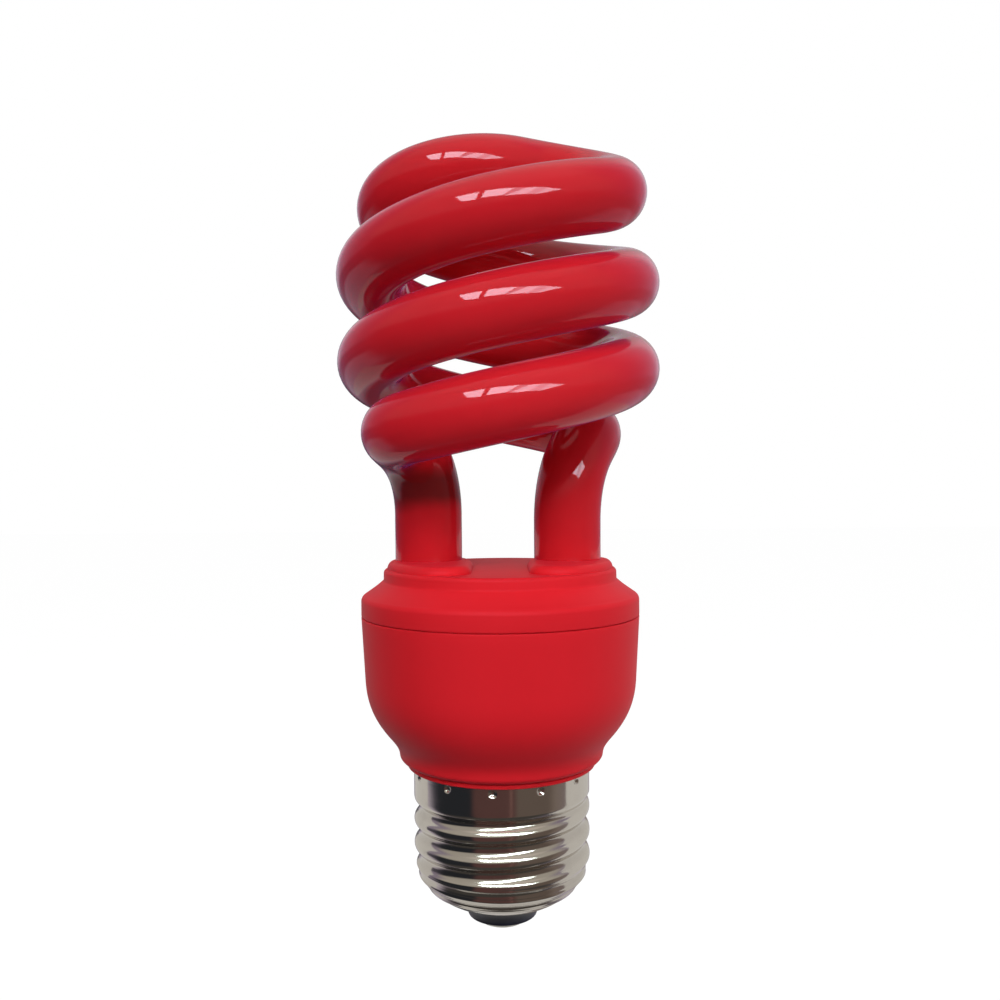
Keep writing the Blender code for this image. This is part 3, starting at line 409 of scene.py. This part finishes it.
def laminate_finish(name, tint):
    """Paper laminate of a cheap board, with its fibres."""
    made = Finish(name)
    fibres = made.noise(made.scaled(made.place(), (1.0, 5.0, 1.0)), 420.0, 4.0, 0.65)
    made.paint(fibres.smooth(0.3, 0.75), tint, shaded(tint, 0.6))
    made.set("roughness", fibres * 0.2 + 0.45)
    made.bump(fibres, 0.03 * MM, 0.5)
    return made.material


# Meshes

def clamped(value):
    return min(max(value, 0.0), 1.0)


def bezier_run(start, leaving, arriving, end, steps):
    """Points of a smooth curve after its start, up to and including its end."""
    points = []
    for i in range(1, steps + 1):
        t = i / steps
        s = 1.0 - t
        points.append(s ** 3 * start + 3 * s * s * t * leaving + 3 * s * t * t * arriving + t ** 3 * end)
    return points


def arc(centre_x, centre_y, radius, start, end, steps):
    """Points of a round edge with both its ends. Angles count in degrees from the first axis."""
    turns = [radians(start + (end - start) * i / steps) for i in range(steps + 1)]
    return [Vector((centre_x + radius * cos(a), centre_y + radius * sin(a))) for a in turns]


def new_mesh(name, verts, faces):
    made = bpy.data.meshes.new(name)
    made.from_pydata(verts, [], faces)
    made.update()
    return made


def turned_mesh(name, profile, steps, press=None):
    """A profile of (radius, height) points turned round the axis.

    press(angle, radius, height) gives a point another radius.
    """
    verts, faces = [], []
    for i in range(steps):
        around = tau * i / steps
        for r, z in profile:
            radius = press(around, r, z) if press else r
            verts.append((radius * cos(around), radius * sin(around), z))
    rows = len(profile)
    for i in range(steps):
        near, far = i * rows, (i + 1) % steps * rows
        faces += [(near + k, near + k + 1, far + k + 1, far + k) for k in range(rows - 1)]
    return new_mesh(name, verts, faces)


def show_piece(name, data, material, node, sharp=32.0):
    """A piece that rides on the bulb and stands for a node of the packed model."""
    data.materials.append(material)
    if isinstance(data, bpy.types.Mesh):
        data.shade_smooth()
        data.set_sharp_from_angle(angle=radians(sharp))
    obj = bpy.data.objects.new(name, data)
    bpy.context.scene.collection.objects.link(obj)
    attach(obj, "root")
    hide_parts(node)


# Glass tube

def coil_point(size, turn):
    rise = size.strand_rise * (turn - size.coil_start) / pi
    return Vector((size.coil_radius * cos(turn), size.coil_radius * sin(turn), size.coil_low + rise))


def coil_direction(size, turn):
    step = Vector((-size.coil_radius * sin(turn), size.coil_radius * cos(turn), size.strand_rise / pi))
    return step.normalized()


def strand_points(size, shift, side_handle, top_handle):
    """Centreline of one strand, from its leg's lower end to the bridge's top, with the leg on the left."""
    leg_steps, bend_steps, coil_steps, bridge_steps = 12, 48, 200, 40
    low, mouth, leg_top = (Vector((-size.leg_offset, 0.0, height))
                           for height in (size.leg_low, size.collar_top, size.leg_top))
    start, end = size.coil_start, size.coil_start + size.coil_sweep
    coil_low, coil_high = coil_point(size, start), coil_point(size, end)
    top = Vector((*shift, coil_high.z + size.bridge_rise))
    along_bridge = Vector((cos(size.bridge_angle), sin(size.bridge_angle), 0.0))
    points = [low] + [mouth.lerp(leg_top, i / leg_steps) for i in range(leg_steps + 1)]
    points += bezier_run(leg_top, leg_top + Vector((0.0, 0.0, size.leg_handle)),
                         coil_low - size.coil_handle * coil_direction(size, start), coil_low, bend_steps)
    points += [coil_point(size, start + size.coil_sweep * i / coil_steps) for i in range(1, coil_steps + 1)]
    points += bezier_run(coil_high, coil_high + side_handle * coil_direction(size, end),
                         top + top_handle * along_bridge, top, bridge_steps)
    return points


def lean(size, point):
    """Tilt what stands above the collars towards the front, and set the legs a little to the left.

    The tilt eases in over one tube radius, and the legs' shift eases out over their upper bend.
    """
    height = point.z - size.collar_top
    turn = Matrix.Rotation(size.coil_lean * clamped(height / size.radius), 3, "X")
    sway = size.leg_sway * (1.0 - clamped((point.z - size.leg_top) / size.leg_handle))
    return turn @ Vector((point.x, point.y, height)) + Vector((-sway, 0.0, size.collar_top))


class BULB_OT_glass_tube(bpy.types.Operator):
    """Wind the glass tube: two legs, two strands and the bridge over the top"""
    bl_idname = "bulb.glass_tube"
    bl_label = "Glass Tube"

    def execute(self, context):
        size = context.scene.bulb_tube
        shift = Vector((size.bridge_right, size.bridge_back))
        left = strand_points(size, shift, size.left_side, size.left_top)
        right = strand_points(size, -shift, size.right_side, size.right_top)
        path = [lean(size, p) for p in left + [Vector((-p.x, -p.y, p.z)) for p in reversed(right[:-1])]]
        data = bpy.data.curves.new("glass_tube", "CURVE")
        data.dimensions = "3D"
        data.bevel_depth = size.radius
        data.bevel_resolution = 22
        data.use_fill_caps = True
        spline = data.splines.new("POLY")
        spline.points.add(len(path) - 1)
        for knot, place in zip(spline.points, path):
            knot.co = (*place, 1.0)
        spline.use_smooth = True
        show_piece("glass_tube", data, coating_finish(context.scene.bulb_colours), "spiral_tube")
        return {"FINISHED"}


# Housing

HOUSING_STEPS = 180


def holder_profile(size):
    """The holder's outside, from the platform's middle to the seam."""
    edge, rim, blend = size.edge_round, 0.13 * MM, 0.3 * MM
    shoulder = size.seam_radius - size.shoulder_round
    foot = Vector((size.platform_radius + 0.02 * MM, size.platform_low + blend))
    slope_start = Vector((size.platform_radius + blend, size.platform_low - 0.12 * MM))
    slope_end = Vector((shoulder + 0.45 * size.shoulder_round, size.shoulder + 0.89 * size.shoulder_round))
    points = [Vector((0.0, size.platform))]
    points += arc(size.platform_radius - edge, size.platform - edge, edge, 90, 2, 8)
    points.append(foot)
    points += bezier_run(foot, foot - Vector((0.0, 0.22 * MM)),
                         slope_start - Vector((0.2 * MM, -0.1 * MM)), slope_start, 6)
    points += bezier_run(slope_start, slope_start.lerp(slope_end, 0.4) - Vector((0.05 * MM, 0.12 * MM)),
                         slope_start.lerp(slope_end, 0.75), slope_end, 10)
    points += arc(shoulder, size.shoulder, size.shoulder_round, 58, 0, 10)
    points += arc(size.seam_radius - rim, size.seam_high + rim, rim, 0, -90, 5)
    skirt = size.seam_radius - 0.38 * MM
    return points + [Vector((skirt, size.seam_high)), Vector((skirt, size.seam_low - 0.4 * MM))]


def pad_outline(size, inset, side):
    """Outline of a pad, drawn in by inset: round behind its leg and out to the platform's edge in front."""
    corner = Vector((size.channel + size.pad_corner, 0.0))
    corner.y = -((size.pad_radius - size.pad_corner) ** 2 - corner.x ** 2) ** 0.5
    turn = degrees(atan2(corner.y, corner.x))
    middle, ring = (size.pad_radius + size.channel) / 2, (size.pad_radius - size.channel) / 2 - inset
    points = arc(0.0, 0.0, size.pad_radius - inset, turn, 0, 32)
    points += arc(middle, 0.0, ring, 0, 180, 40)[1:]
    points += [Vector((size.channel + inset, corner.y * i / 6)) for i in range(1, 6)]
    points += arc(corner.x, corner.y, size.pad_corner - inset, 180, 360 + turn, 12)[:-1]
    points = [Vector((side * p.x, p.y)) for p in points]
    return points if side > 0 else points[::-1]


def pad_mesh(size, name, side):
    """One of the two raised pads, with a rounded top edge."""
    edge, steps, sunk = size.pad_round, 8, 0.5 * MM
    turns = [pi / 2 * i / steps for i in range(steps + 1)]
    rows = [(0.0, size.platform - sunk)]
    rows += [(edge - edge * cos(a), size.pad_top - edge + edge * sin(a)) for a in turns]
    verts = [(p.x, p.y, z) for inset, z in rows for p in pad_outline(size, inset, side)]
    corners = len(verts) // len(rows)
    faces = []
    for row in range(len(rows) - 1):
        low, high = row * corners, (row + 1) * corners
        for k in range(corners):
            after = (k + 1) % corners
            faces.append((low + k, low + after, high + after, high + k))
    faces.append(tuple(range(len(verts) - corners, len(verts))))
    return new_mesh(name, verts, faces)


def cup_profile(size):
    """The cup's outside, from the seam to the bead that grips the cap."""
    rim, fillet = 0.13 * MM, 0.3 * size.bead
    lap, bead_radius = size.seam_radius - 0.45 * MM, size.bead_radius + 0.02 * MM
    bowl = Vector((size.bowl_radius, size.bowl_high))
    flare = Vector((size.flare_radius, size.flare))
    neck = Vector((size.lip_radius, size.lip_high))
    groove = Vector((size.bead_radius, size.lip + size.bead))
    bowl_drop, neck_drop, lip_drop = bowl.y - flare.y, flare.y - neck.y, neck.y - groove.y
    points = [Vector((lap, size.seam_low - 1.0 * MM)), Vector((lap, size.seam_low))]
    points += arc(size.seam_radius - rim, size.seam_low - rim, rim, 90, 0, 5)
    wall_top = points[-1]
    points += [wall_top.lerp(bowl, i / 8) for i in range(1, 9)]
    points += bezier_run(bowl, bowl - Vector((0.25 * MM, 0.43 * bowl_drop)),
                         flare + Vector((1.9 * MM, 0.29 * bowl_drop)), flare, 28)
    points += bezier_run(flare, flare - Vector((0.9 * MM, 0.34 * neck_drop)),
                         neck + Vector((0.1 * MM, 0.39 * neck_drop)), neck, 14)
    points += bezier_run(neck, neck - Vector((0.05 * MM, 0.6 * lip_drop)),
                         groove + Vector((0.45 * MM, 0.1 * MM)), groove, 12)
    points += arc(bead_radius, size.lip + size.bead - fillet, fillet, 80, 0, 4)
    points += arc(bead_radius, size.lip + fillet, fillet, 0, -90, 4)
    return points + [Vector((size.bead_radius - 1.5 * MM, size.lip))]


class BULB_OT_tube_holder(bpy.types.Operator):
    """Mould the tube holder and its two pads"""
    bl_idname = "bulb.tube_holder"
    bl_label = "Tube Holder"

    def execute(self, context):
        size = context.scene.bulb_housing
        red = plastic_finish(context.scene.bulb_colours)
        holder = turned_mesh("tube_holder", holder_profile(size), HOUSING_STEPS)
        show_piece("tube_holder", holder, red, "top_cover")
        for name, side in (("leg_pad_left", -1), ("leg_pad_right", 1)):
            show_piece(name, pad_mesh(size, name, side), red, "top_cover")
        return {"FINISHED"}


class BULB_OT_ballast_cup(bpy.types.Operator):
    """Mould the cup that holds the ballast"""
    bl_idname = "bulb.ballast_cup"
    bl_label = "Ballast Cup"

    def execute(self, context):
        size = context.scene.bulb_housing
        cup = turned_mesh("ballast_cup", cup_profile(size), HOUSING_STEPS)
        show_piece("ballast_cup", cup, bpy.data.materials["red_plastic"], "lower_housing")
        return {"FINISHED"}


# Screw cap

SHELL_STEPS = 300
INSULATOR_STEPS = 128
CONTACT_STEPS = 96
# Rings pressed round the foot: height, how far each stands out and half width, in millimetres
FOOT_RINGS = ((9.25, 0.15, 0.17), (7.65, 0.20, 0.24), (6.62, -0.20, 0.22), (5.75, 0.17, 0.28))


def foot_ring(height):
    """How far the pressed rings round the foot stand out at a height."""
    return sum(out * MM * exp(-((height / MM - middle) / width) ** 2) for middle, out, width in FOOT_RINGS)


def foot_profile(size):
    """The shell's rounded foot, down to the rim of its mouth."""
    high = Vector((size.radius - size.foot_step, size.thread_low))
    low = Vector((size.mouth_radius, size.mouth))
    drop, rim = high.y - low.y, 0.2 * MM
    points = bezier_run(high, high - Vector((0.25 * MM, 0.41 * drop)),
                        low + Vector((3.4 * MM, 0.22 * drop)), low, 60)
    points += arc(low.x, low.y + rim, rim, 270, 180, 4)
    return points + [Vector((low.x - rim, low.y + 1.0 * MM))]


def cap_profile(size):
    """The shell's outside, from its upper edge past the dents and the thread to its mouth."""
    dent, reach = size.dent_height, 0.9 * MM
    plain = [height * MM for height in (21.5, 21.0, 20.6, 20.25)]
    heights = [size.top] + [dent + reach * (1 - i / 8) for i in range(17)] + plain
    points = [Vector((size.radius, height)) for height in heights]
    rows = 100
    for i in range(rows + 1):
        height = size.thread_high + (size.thread_low - size.thread_high) * i / rows
        near_foot = max(0.0, 1.0 - (height - size.thread_low) / size.thread_fade)
        points.append(Vector((size.radius - size.foot_step * near_foot ** 2, height)))
    points += foot_profile(size)
    return [Vector((p.x + foot_ring(p.y), p.y)) for p in points]


def thread_groove(size, height):
    """Depth of the thread at a height over a crest: round crests and round grooves of one radius."""
    quarter = size.thread_pitch / 4
    bend = (quarter ** 2 + (size.thread_depth / 2) ** 2) / size.thread_depth
    away = abs((height / size.thread_pitch + 0.5) % 1.0 - 0.5) * size.thread_pitch
    if away < quarter:
        return bend - (bend ** 2 - away ** 2) ** 0.5
    return size.thread_depth - bend + (bend ** 2 - (2 * quarter - away) ** 2) ** 0.5


def press_cap(size, around, r, z):
    """Roll in the thread and punch the crimp dents, each with a low lip round it."""
    front, lip_height, lip_place, lip_width = -pi / 2, 0.12, 1.45, 0.3
    crest = size.crest + size.thread_pitch * (around - front) / tau
    ends = min(size.thread_high - z, z - size.thread_low + size.thread_fade / 2) / size.thread_fade
    rolled = thread_groove(size, z - crest) * clamped(ends)
    spacing = tau / size.dents
    off = (around - front - size.dent_angle + spacing / 2) % spacing - spacing / 2
    away = hypot(off * size.radius, z - size.dent_height) / size.dent_radius
    lip = lip_height * exp(-((away - lip_place) / lip_width) ** 2)
    return r - rolled - size.dent_depth * (exp(-away ** 4) - lip)


def insulator_profile(size):
    """The insulator's outside, from inside the shell's mouth to its tip round the contact."""
    tip, nose, mouth = size.insulator_tip, size.insulator_radius, size.mouth_radius - 0.05 * MM
    edge, lap = 0.3 * MM, 0.3 * MM
    top = Vector((mouth, size.mouth + 0.02 * MM))
    points = [Vector((mouth, size.mouth + 1.5 * MM)), top]
    points += bezier_run(top, top - Vector((0.7 * MM, 0.4 * MM)),
                         Vector((nose + 0.5 * MM, tip + 1.4 * MM)), Vector((nose, tip + edge)), 12)
    points += arc(nose - edge, tip + edge, edge, 0, -90, 6)[1:]
    return points + [Vector((size.contact_radius - lap, tip))]


def contact_profile(size):
    """The contact's outside, from its rim in the insulator's tip to the middle of its flat face."""
    tip = size.insulator_tip
    rim, flat = Vector((size.contact_radius, tip - 0.25 * MM)), Vector((size.contact_flat, 0.0))
    points = [Vector((rim.x - 0.3 * MM, tip + 0.2 * MM)), Vector((rim.x - 0.05 * MM, tip - 0.02 * MM)), rim]
    points += bezier_run(rim, rim - Vector((0.1 * MM, 0.35 * MM)),
                         flat + Vector((0.6 * MM, 0.02 * MM)), flat, 8)
    return points + [Vector((0.0, 0.0))]


class BULB_OT_screw_cap(bpy.types.Operator):
    """Roll the thread of the shell, punch its dents and set the insulator and the contact in it"""
    bl_idname = "bulb.screw_cap"
    bl_label = "Screw Cap"

    def execute(self, context):
        size, colours = context.scene.bulb_cap, context.scene.bulb_colours
        shell = turned_mesh("threaded_shell", cap_profile(size), SHELL_STEPS,
                            lambda around, r, z: press_cap(size, around, r, z))
        insulator = turned_mesh("glass_insulator", insulator_profile(size), INSULATOR_STEPS)
        contact = turned_mesh("tip_contact", contact_profile(size), CONTACT_STEPS)
        show_piece("threaded_shell", shell, nickel_finish(colours, size), "screw_shell", sharp=60.0)
        show_piece("glass_insulator", insulator, insulator_finish(colours), "base_insulator")
        tinned = metal_finish("tinned_contact", colours.tin, 0.22)
        show_piece("tip_contact", contact, tinned, "centre_contact")
        return {"FINISHED"}


# Ballast inside

class BULB_OT_ballast_finishes(bpy.types.Operator):
    """Give every part of the hidden ballast its finish"""
    bl_idname = "bulb.ballast_finishes"
    bl_label = "Ballast Finishes"

    def execute(self, context):
        colours = context.scene.bulb_colours
        epoxy = body_finish("black_epoxy", (0.02, 0.02, 0.022), 0.4, 2600.0)
        leads = metal_finish("tinned_leads", colours.tin, 0.2, 2000.0)
        finishes = {
            "circuit_board": laminate_finish("paper_laminate", colours.laminate),
            "choke_core": body_finish("ferrite", colours.ferrite, 0.45, 1500.0),
            "choke_bobbin": body_finish("black_nylon", (0.05, 0.05, 0.055), 0.4, 1800.0),
            "choke_winding": wound_finish("choke_wire", colours.copper),
            "toroid_core": body_finish("coated_ferrite", (0.05, 0.13, 0.07), 0.3, 900.0),
            "toroid_winding": metal_finish("magnet_wire", colours.copper, 0.25, 1500.0),
            "electrolytic_capacitor": body_finish("blue_sleeve", (0.03, 0.05, 0.16), 0.25, 300.0, 0.03 * MM),
            "film_capacitor": body_finish("dipped_coating", (0.34, 0.06, 0.03), 0.18, 420.0, 0.05 * MM),
            "transistor": epoxy,
            "diode": epoxy,
            "diac": body_finish("blue_lacquer", (0.05, 0.10, 0.30), 0.2, 900.0),
            "resistor": body_finish("beige_lacquer", (0.55, 0.42, 0.26), 0.35, 1200.0),
            "fusible_resistor": sleeve_finish("woven_sleeve", (0.50, 0.46, 0.40)),
            "line_wire": body_finish("black_insulation", (0.02, 0.02, 0.02), 0.4, 1400.0),
            "neutral_wire": body_finish("white_insulation", (0.75, 0.75, 0.72), 0.4, 1400.0, spread=0.9),
            "wrap_pin": leads,
            "filament_lead": leads,
        }
        for name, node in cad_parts.items():
            kinds = [kind for kind in finishes if name.startswith(kind)]
            if kinds:
                node.data.materials.clear()
                node.data.materials.append(finishes[max(kinds, key=len)])
        return {"FINISHED"}


# Stage

# Soft square lamps aimed at the bulb's middle: name, place, size and power
LAMPS = (
    ("key_high", (0.0, -0.70, 0.70), 0.4, 2.25),
    ("key_left", (-0.35, -0.62, 0.50), 0.4, 2.35),
    ("fill_low", (0.0, -0.80, 0.40), 0.3, 0.75),
)
# Soft-edged spots: name, place, height that each aims at on the axis, radius, cone in degrees and power
SPOTS = (
    ("housing_spot", (0.18, -0.55, 0.42), 0.034, 0.10, 13.5, 7.6),
    ("coil_spot", (0.0, -0.50, 0.0), 0.075, 0.03, 7.0, 1.8),
    ("right_spot", (0.40, -0.45, 0.04), 0.038, 0.10, 9.5, 6.8),
)
LAMP_AIM = 0.06
WHITE = (1.0, 1.0, 1.0, 1.0)


def blank_material(name):
    """A material with an empty node tree, and the builder of that tree."""
    material = bpy.data.materials.new(name)
    material.use_nodes = True
    material.node_tree.nodes.clear()
    return material, Nodes(material.node_tree)


def emitter(name, tint, strength):
    material, made = blank_material(name)
    light = made.add("ShaderNodeEmission", inputs={"Color": (*tint, 1.0), "Strength": strength})
    made.add("ShaderNodeOutputMaterial", inputs={"Surface": light})
    return material


def hang_card(name, corners, material):
    """A flat emitter that only the gloss mirrors."""
    data = new_mesh(name, corners, [tuple(range(len(corners)))])
    data.materials.append(material)
    card = bpy.data.objects.new(name, data)
    card.visible_camera = False
    card.visible_diffuse = False
    card.visible_shadow = False
    bpy.context.scene.collection.objects.link(card)


def hang_window():
    """The studio window that the gloss mirrors: panes between slanted bars, some behind a thin blind.

    A pane is its share of the light and its corners, which count right and up in window distances.
    """
    panes = (
        (1.0, ((-0.551, 0.381), (-0.273, 0.280), (-0.285, -0.102), (-0.454, -0.010))),
        (1.0, ((-0.213, 0.274), (0.105, 0.140), (0.015, -0.144), (-0.224, -0.076))),
        (0.35, ((0.120, 0.130), (0.228, 0.070), (0.054, -0.192), (0.030, -0.155))),
        (0.9, ((0.228, 0.070), (0.380, 0.042), (0.310, -0.262), (0.054, -0.192))),
        (0.55, ((0.380, 0.042), (0.530, -0.010), (0.440, -0.310), (0.310, -0.262))),
        (0.8, ((0.530, -0.010), (0.600, -0.060), (0.828, -0.130), (0.638, -0.241), (0.501, -0.325),
               (0.440, -0.310))),
    )
    coil, distance, elevation = Vector((0.0, -0.02, 0.09)), 1.5, radians(36.0)
    tint, strength = (0.85, 1.0, 0.98), 14.0
    right = Vector((1.0, 0.0, 0.0))
    facing = Vector((0.0, -cos(elevation), sin(elevation)))
    up = facing.cross(right)
    for i, (part, corners) in enumerate(panes, 1):
        name = "window_pane_%d" % i
        corners = [coil + distance * (facing + x * right + y * up) for x, y in corners]
        hang_card(name, corners, emitter(name, tint, strength * part))


def hang_cards():
    """Pale cards beside and under the cap, for its metal to mirror."""
    white = emitter("card_white", (0.59, 0.575, 0.55), 1.0)
    side, back, low, high = 0.055, 0.10, -0.05, 0.052
    for name, x, front in (("card_left", -side, 0.0096), ("card_right", side, -0.009)):
        hang_card(name, ((x, front, low), (x, back, low), (x, back, high), (x, front, high)), white)
    reach, front, back, under = 0.02, -0.012, 0.02, -0.02
    around = ((-reach, front), (reach, front), (reach, back), (-reach, back))
    hang_card("card_under", [(x, y, under) for x, y in around], white)


def studio_front(made, azimuth, height):
    """The dim room behind the camera: tones from left to right, a thin line, wall, ceiling and floor."""
    front, trim = (0.021, 0.023, 0.028), (0.19, 0.10, 0.09)
    maroon, brown, tan = (0.10, 0.050, 0.047), (0.13, 0.10, 0.085), (0.20, 0.16, 0.14)
    wall, ceiling, floor = (0.42, 0.39, 0.345), (0.60, 0.55, 0.49), (0.06, 0.055, 0.05)
    for start, end, tint in ((-42, -33, maroon), (14, 22, brown), (60, 75, tan)):
        front = made.mix(azimuth.fade(start, end), front, tint)
    front = made.mix(azimuth.fade(9, 11.5) * azimuth.fade(14.5, 12), front, trim)
    for start, end, tint in ((6, 18, wall), (50, 60, ceiling), (-30, -50, floor)):
        front = made.mix(height.fade(start, end), front, tint)
    return front


def studio_sides(made, round_by):
    """The walls beside the bulb, paler towards the white background."""
    near, far, backdrop = (0.25, 0.21, 0.28), (0.47, 0.42, 0.50), (0.95, 0.93, 0.97)
    sides = made.mix(round_by.fade(100, 145), near, far)
    return made.mix(round_by.fade(138, 164), sides, backdrop)


def sides_share(azimuth, round_by, height):
    """Where the sides take over from the front: fainter low down, right behind and overhead."""
    beside = azimuth.fade(70, 98) + azimuth.fade(-84, -108)
    level = height.fade(-1, 7) * 0.7 + 0.3
    below_ceiling = (height + (round_by - radians(130)).math("MAXIMUM", 0.0) * 0.9).fade(80, 50)
    behind = round_by.fade(150, 168) * (height.fade(16, 9) * 0.12 + 0.76)
    return beside * level * below_ceiling * (1.0 - behind)


def table_share(round_by, height):
    """Where the pale table on both sides behind the bulb shows. It narrows towards the horizon."""
    narrowed = round_by - (height + radians(19)).math("MAXIMUM", 0.0) * 3.0
    return narrowed.fade(92, 112) * round_by.fade(170, 158) * height.fade(-7, -13) * height.fade(-52, -38)


def light_world():
    """White behind the bulb, soft light from behind and the right, and a studio that the gloss mirrors."""
    world = bpy.data.worlds.new("studio")
    world.use_nodes = True
    world.node_tree.nodes.clear()
    bpy.context.scene.world = world
    made = Nodes(world.node_tree)
    x, y, z = made.axes(made.add("ShaderNodeTexCoord", output="Generated"))
    azimuth, height = x.math("ARCTAN2", y * -1.0), z.math("ARCSINE")
    round_by = abs(azimuth)
    mirrored = made.mix(sides_share(azimuth, round_by, height), studio_front(made, azimuth, height),
                        studio_sides(made, round_by))
    mirrored = made.mix(table_share(round_by, height), mirrored, (0.50, 0.45, 0.52))
    from_behind, from_right, from_everywhere = 1.25, 0.62, 0.03
    soft = y.math("MAXIMUM", 0.0) * from_behind + x.math("MAXIMUM", 0.0) * from_right + from_everywhere
    diffuse = made.add("ShaderNodeBackground", inputs={"Color": WHITE, "Strength": soft})
    glossy = made.add("ShaderNodeBackground", inputs={"Color": mirrored, "Strength": 1.0})
    white = made.add("ShaderNodeBackground", inputs={"Color": WHITE, "Strength": 1.0})
    is_glossy, is_camera, is_through = (made.add("ShaderNodeLightPath", output="Is %s Ray" % ray)
                                        for ray in ("Glossy", "Camera", "Transmission"))
    seen = made.add("ShaderNodeMixShader", inputs={0: is_glossy, 1: diffuse, 2: glossy})
    plain = is_camera.math("MAXIMUM", is_through)
    seen = made.add("ShaderNodeMixShader", inputs={0: plain, 1: seen, 2: white})
    made.add("ShaderNodeOutputWorld", inputs={"Surface": seen})


def lay_floor():
    """Pale floor well under the hanging bulb. It renders white and keeps a faint shadow."""
    material, made = blank_material("pale_floor")
    pale, glow_strength, glow_share = (0.9, 0.9, 0.9, 1.0), 1.1, 0.85
    matt = made.add("ShaderNodeBsdfDiffuse", inputs={"Color": pale})
    glow = made.add("ShaderNodeEmission", inputs={"Color": WHITE, "Strength": glow_strength})
    is_camera = made.add("ShaderNodeLightPath", output="Is Camera Ray")
    seen = made.add("ShaderNodeMixShader", inputs={0: is_camera * glow_share, 1: matt, 2: glow})
    made.add("ShaderNodeOutputMaterial", inputs={"Surface": seen})
    reach, level = 3.0, -0.10
    around = ((-reach, -reach), (reach, -reach), (reach, reach), (-reach, reach))
    data = new_mesh("floor", [(x, y, level) for x, y in around], [(0, 1, 2, 3)])
    data.materials.append(material)
    floor = bpy.data.objects.new("floor", data)
    floor.visible_glossy = False
    floor.visible_diffuse = False
    bpy.context.scene.collection.objects.link(floor)


def place_lamp(name, data, place, height, power):
    """A lamp that the gloss doesn't mirror, aimed at a height on the bulb's axis."""
    data.energy = power
    lamp = bpy.data.objects.new(name, data)
    lamp.location = place
    lamp.rotation_euler = (Vector(place) - Vector((0.0, 0.0, height))).to_track_quat("Z", "Y").to_euler()
    lamp.visible_camera = False
    lamp.visible_glossy = False
    bpy.context.scene.collection.objects.link(lamp)


def hang_lamps():
    for name, place, size, power in LAMPS:
        data = bpy.data.lights.new(name, "AREA")
        data.shape = "SQUARE"
        data.size = size
        place_lamp(name, data, place, LAMP_AIM, power)
    for name, place, height, radius, cone, power in SPOTS:
        data = bpy.data.lights.new(name, "SPOT")
        data.shadow_soft_size = radius
        data.spot_size = radians(cone)
        data.spot_blend = 1.0
        place_lamp(name, data, place, height, power)


def set_camera(scene):
    """The camera in front of the bulb, with the photograph's framing."""
    place, roll = (0.0, -0.150, 0.06675), radians(-0.45)
    data = bpy.data.cameras.new("camera")
    data.sensor_width = 36.0
    data.lens = 35.64
    data.clip_start = 0.01
    data.shift_x = 0.0007
    data.shift_y = -0.022
    camera = bpy.data.objects.new("camera", data)
    upright = Matrix.Translation(place) @ Matrix.Rotation(pi / 2, 4, "X")
    camera.matrix_world = upright @ Matrix.Rotation(roll, 4, "Z")
    scene.collection.objects.link(camera)
    scene.camera = camera


class BULB_OT_stage(bpy.types.Operator):
    """Set the floor, the light and the camera"""
    bl_idname = "bulb.stage"
    bl_label = "Stage"

    def execute(self, context):
        context.scene.view_settings.view_transform = "Standard"
        light_world()
        lay_floor()
        hang_window()
        hang_cards()
        hang_lamps()
        set_camera(context.scene)
        return {"FINISHED"}


OPERATORS = (BULB_OT_glass_tube, BULB_OT_tube_holder, BULB_OT_ballast_cup, BULB_OT_screw_cap,
             BULB_OT_ballast_finishes, BULB_OT_stage)
SETTINGS = (("bulb_tube", TubeSizes), ("bulb_housing", HousingSizes), ("bulb_cap", CapSizes),
            ("bulb_colours", BulbColours))


class BULB_PT_looks(bpy.types.Panel):
    """Lists the steps that dress the bulb"""
    bl_label = "Spiral Bulb"
    bl_space_type = "VIEW_3D"
    bl_region_type = "UI"
    bl_category = "Bulb"

    def draw(self, context):
        for step in OPERATORS:
            self.layout.operator(step.bl_idname)
        for name, group in SETTINGS:
            box = self.layout.box()
            box.label(text=group.__doc__)
            for key in group.__annotations__:
                box.prop(getattr(context.scene, name), key)


def register():
    for group in (*(group for _, group in SETTINGS), *OPERATORS, BULB_PT_looks):
        bpy.utils.register_class(group)
    for name, group in SETTINGS:
        setattr(bpy.types.Scene, name, PointerProperty(type=group))


def unregister():
    for name, _ in SETTINGS:
        delattr(bpy.types.Scene, name)
    for group in (BULB_PT_looks, *reversed(OPERATORS), *(group for _, group in reversed(SETTINGS))):
        bpy.utils.unregister_class(group)


def main():
    register()
    bpy.ops.bulb.glass_tube()
    bpy.ops.bulb.tube_holder()
    bpy.ops.bulb.ballast_cup()
    bpy.ops.bulb.screw_cap()
    bpy.ops.bulb.ballast_finishes()
    bpy.ops.bulb.stage()


if __name__ == "__main__":
    main()
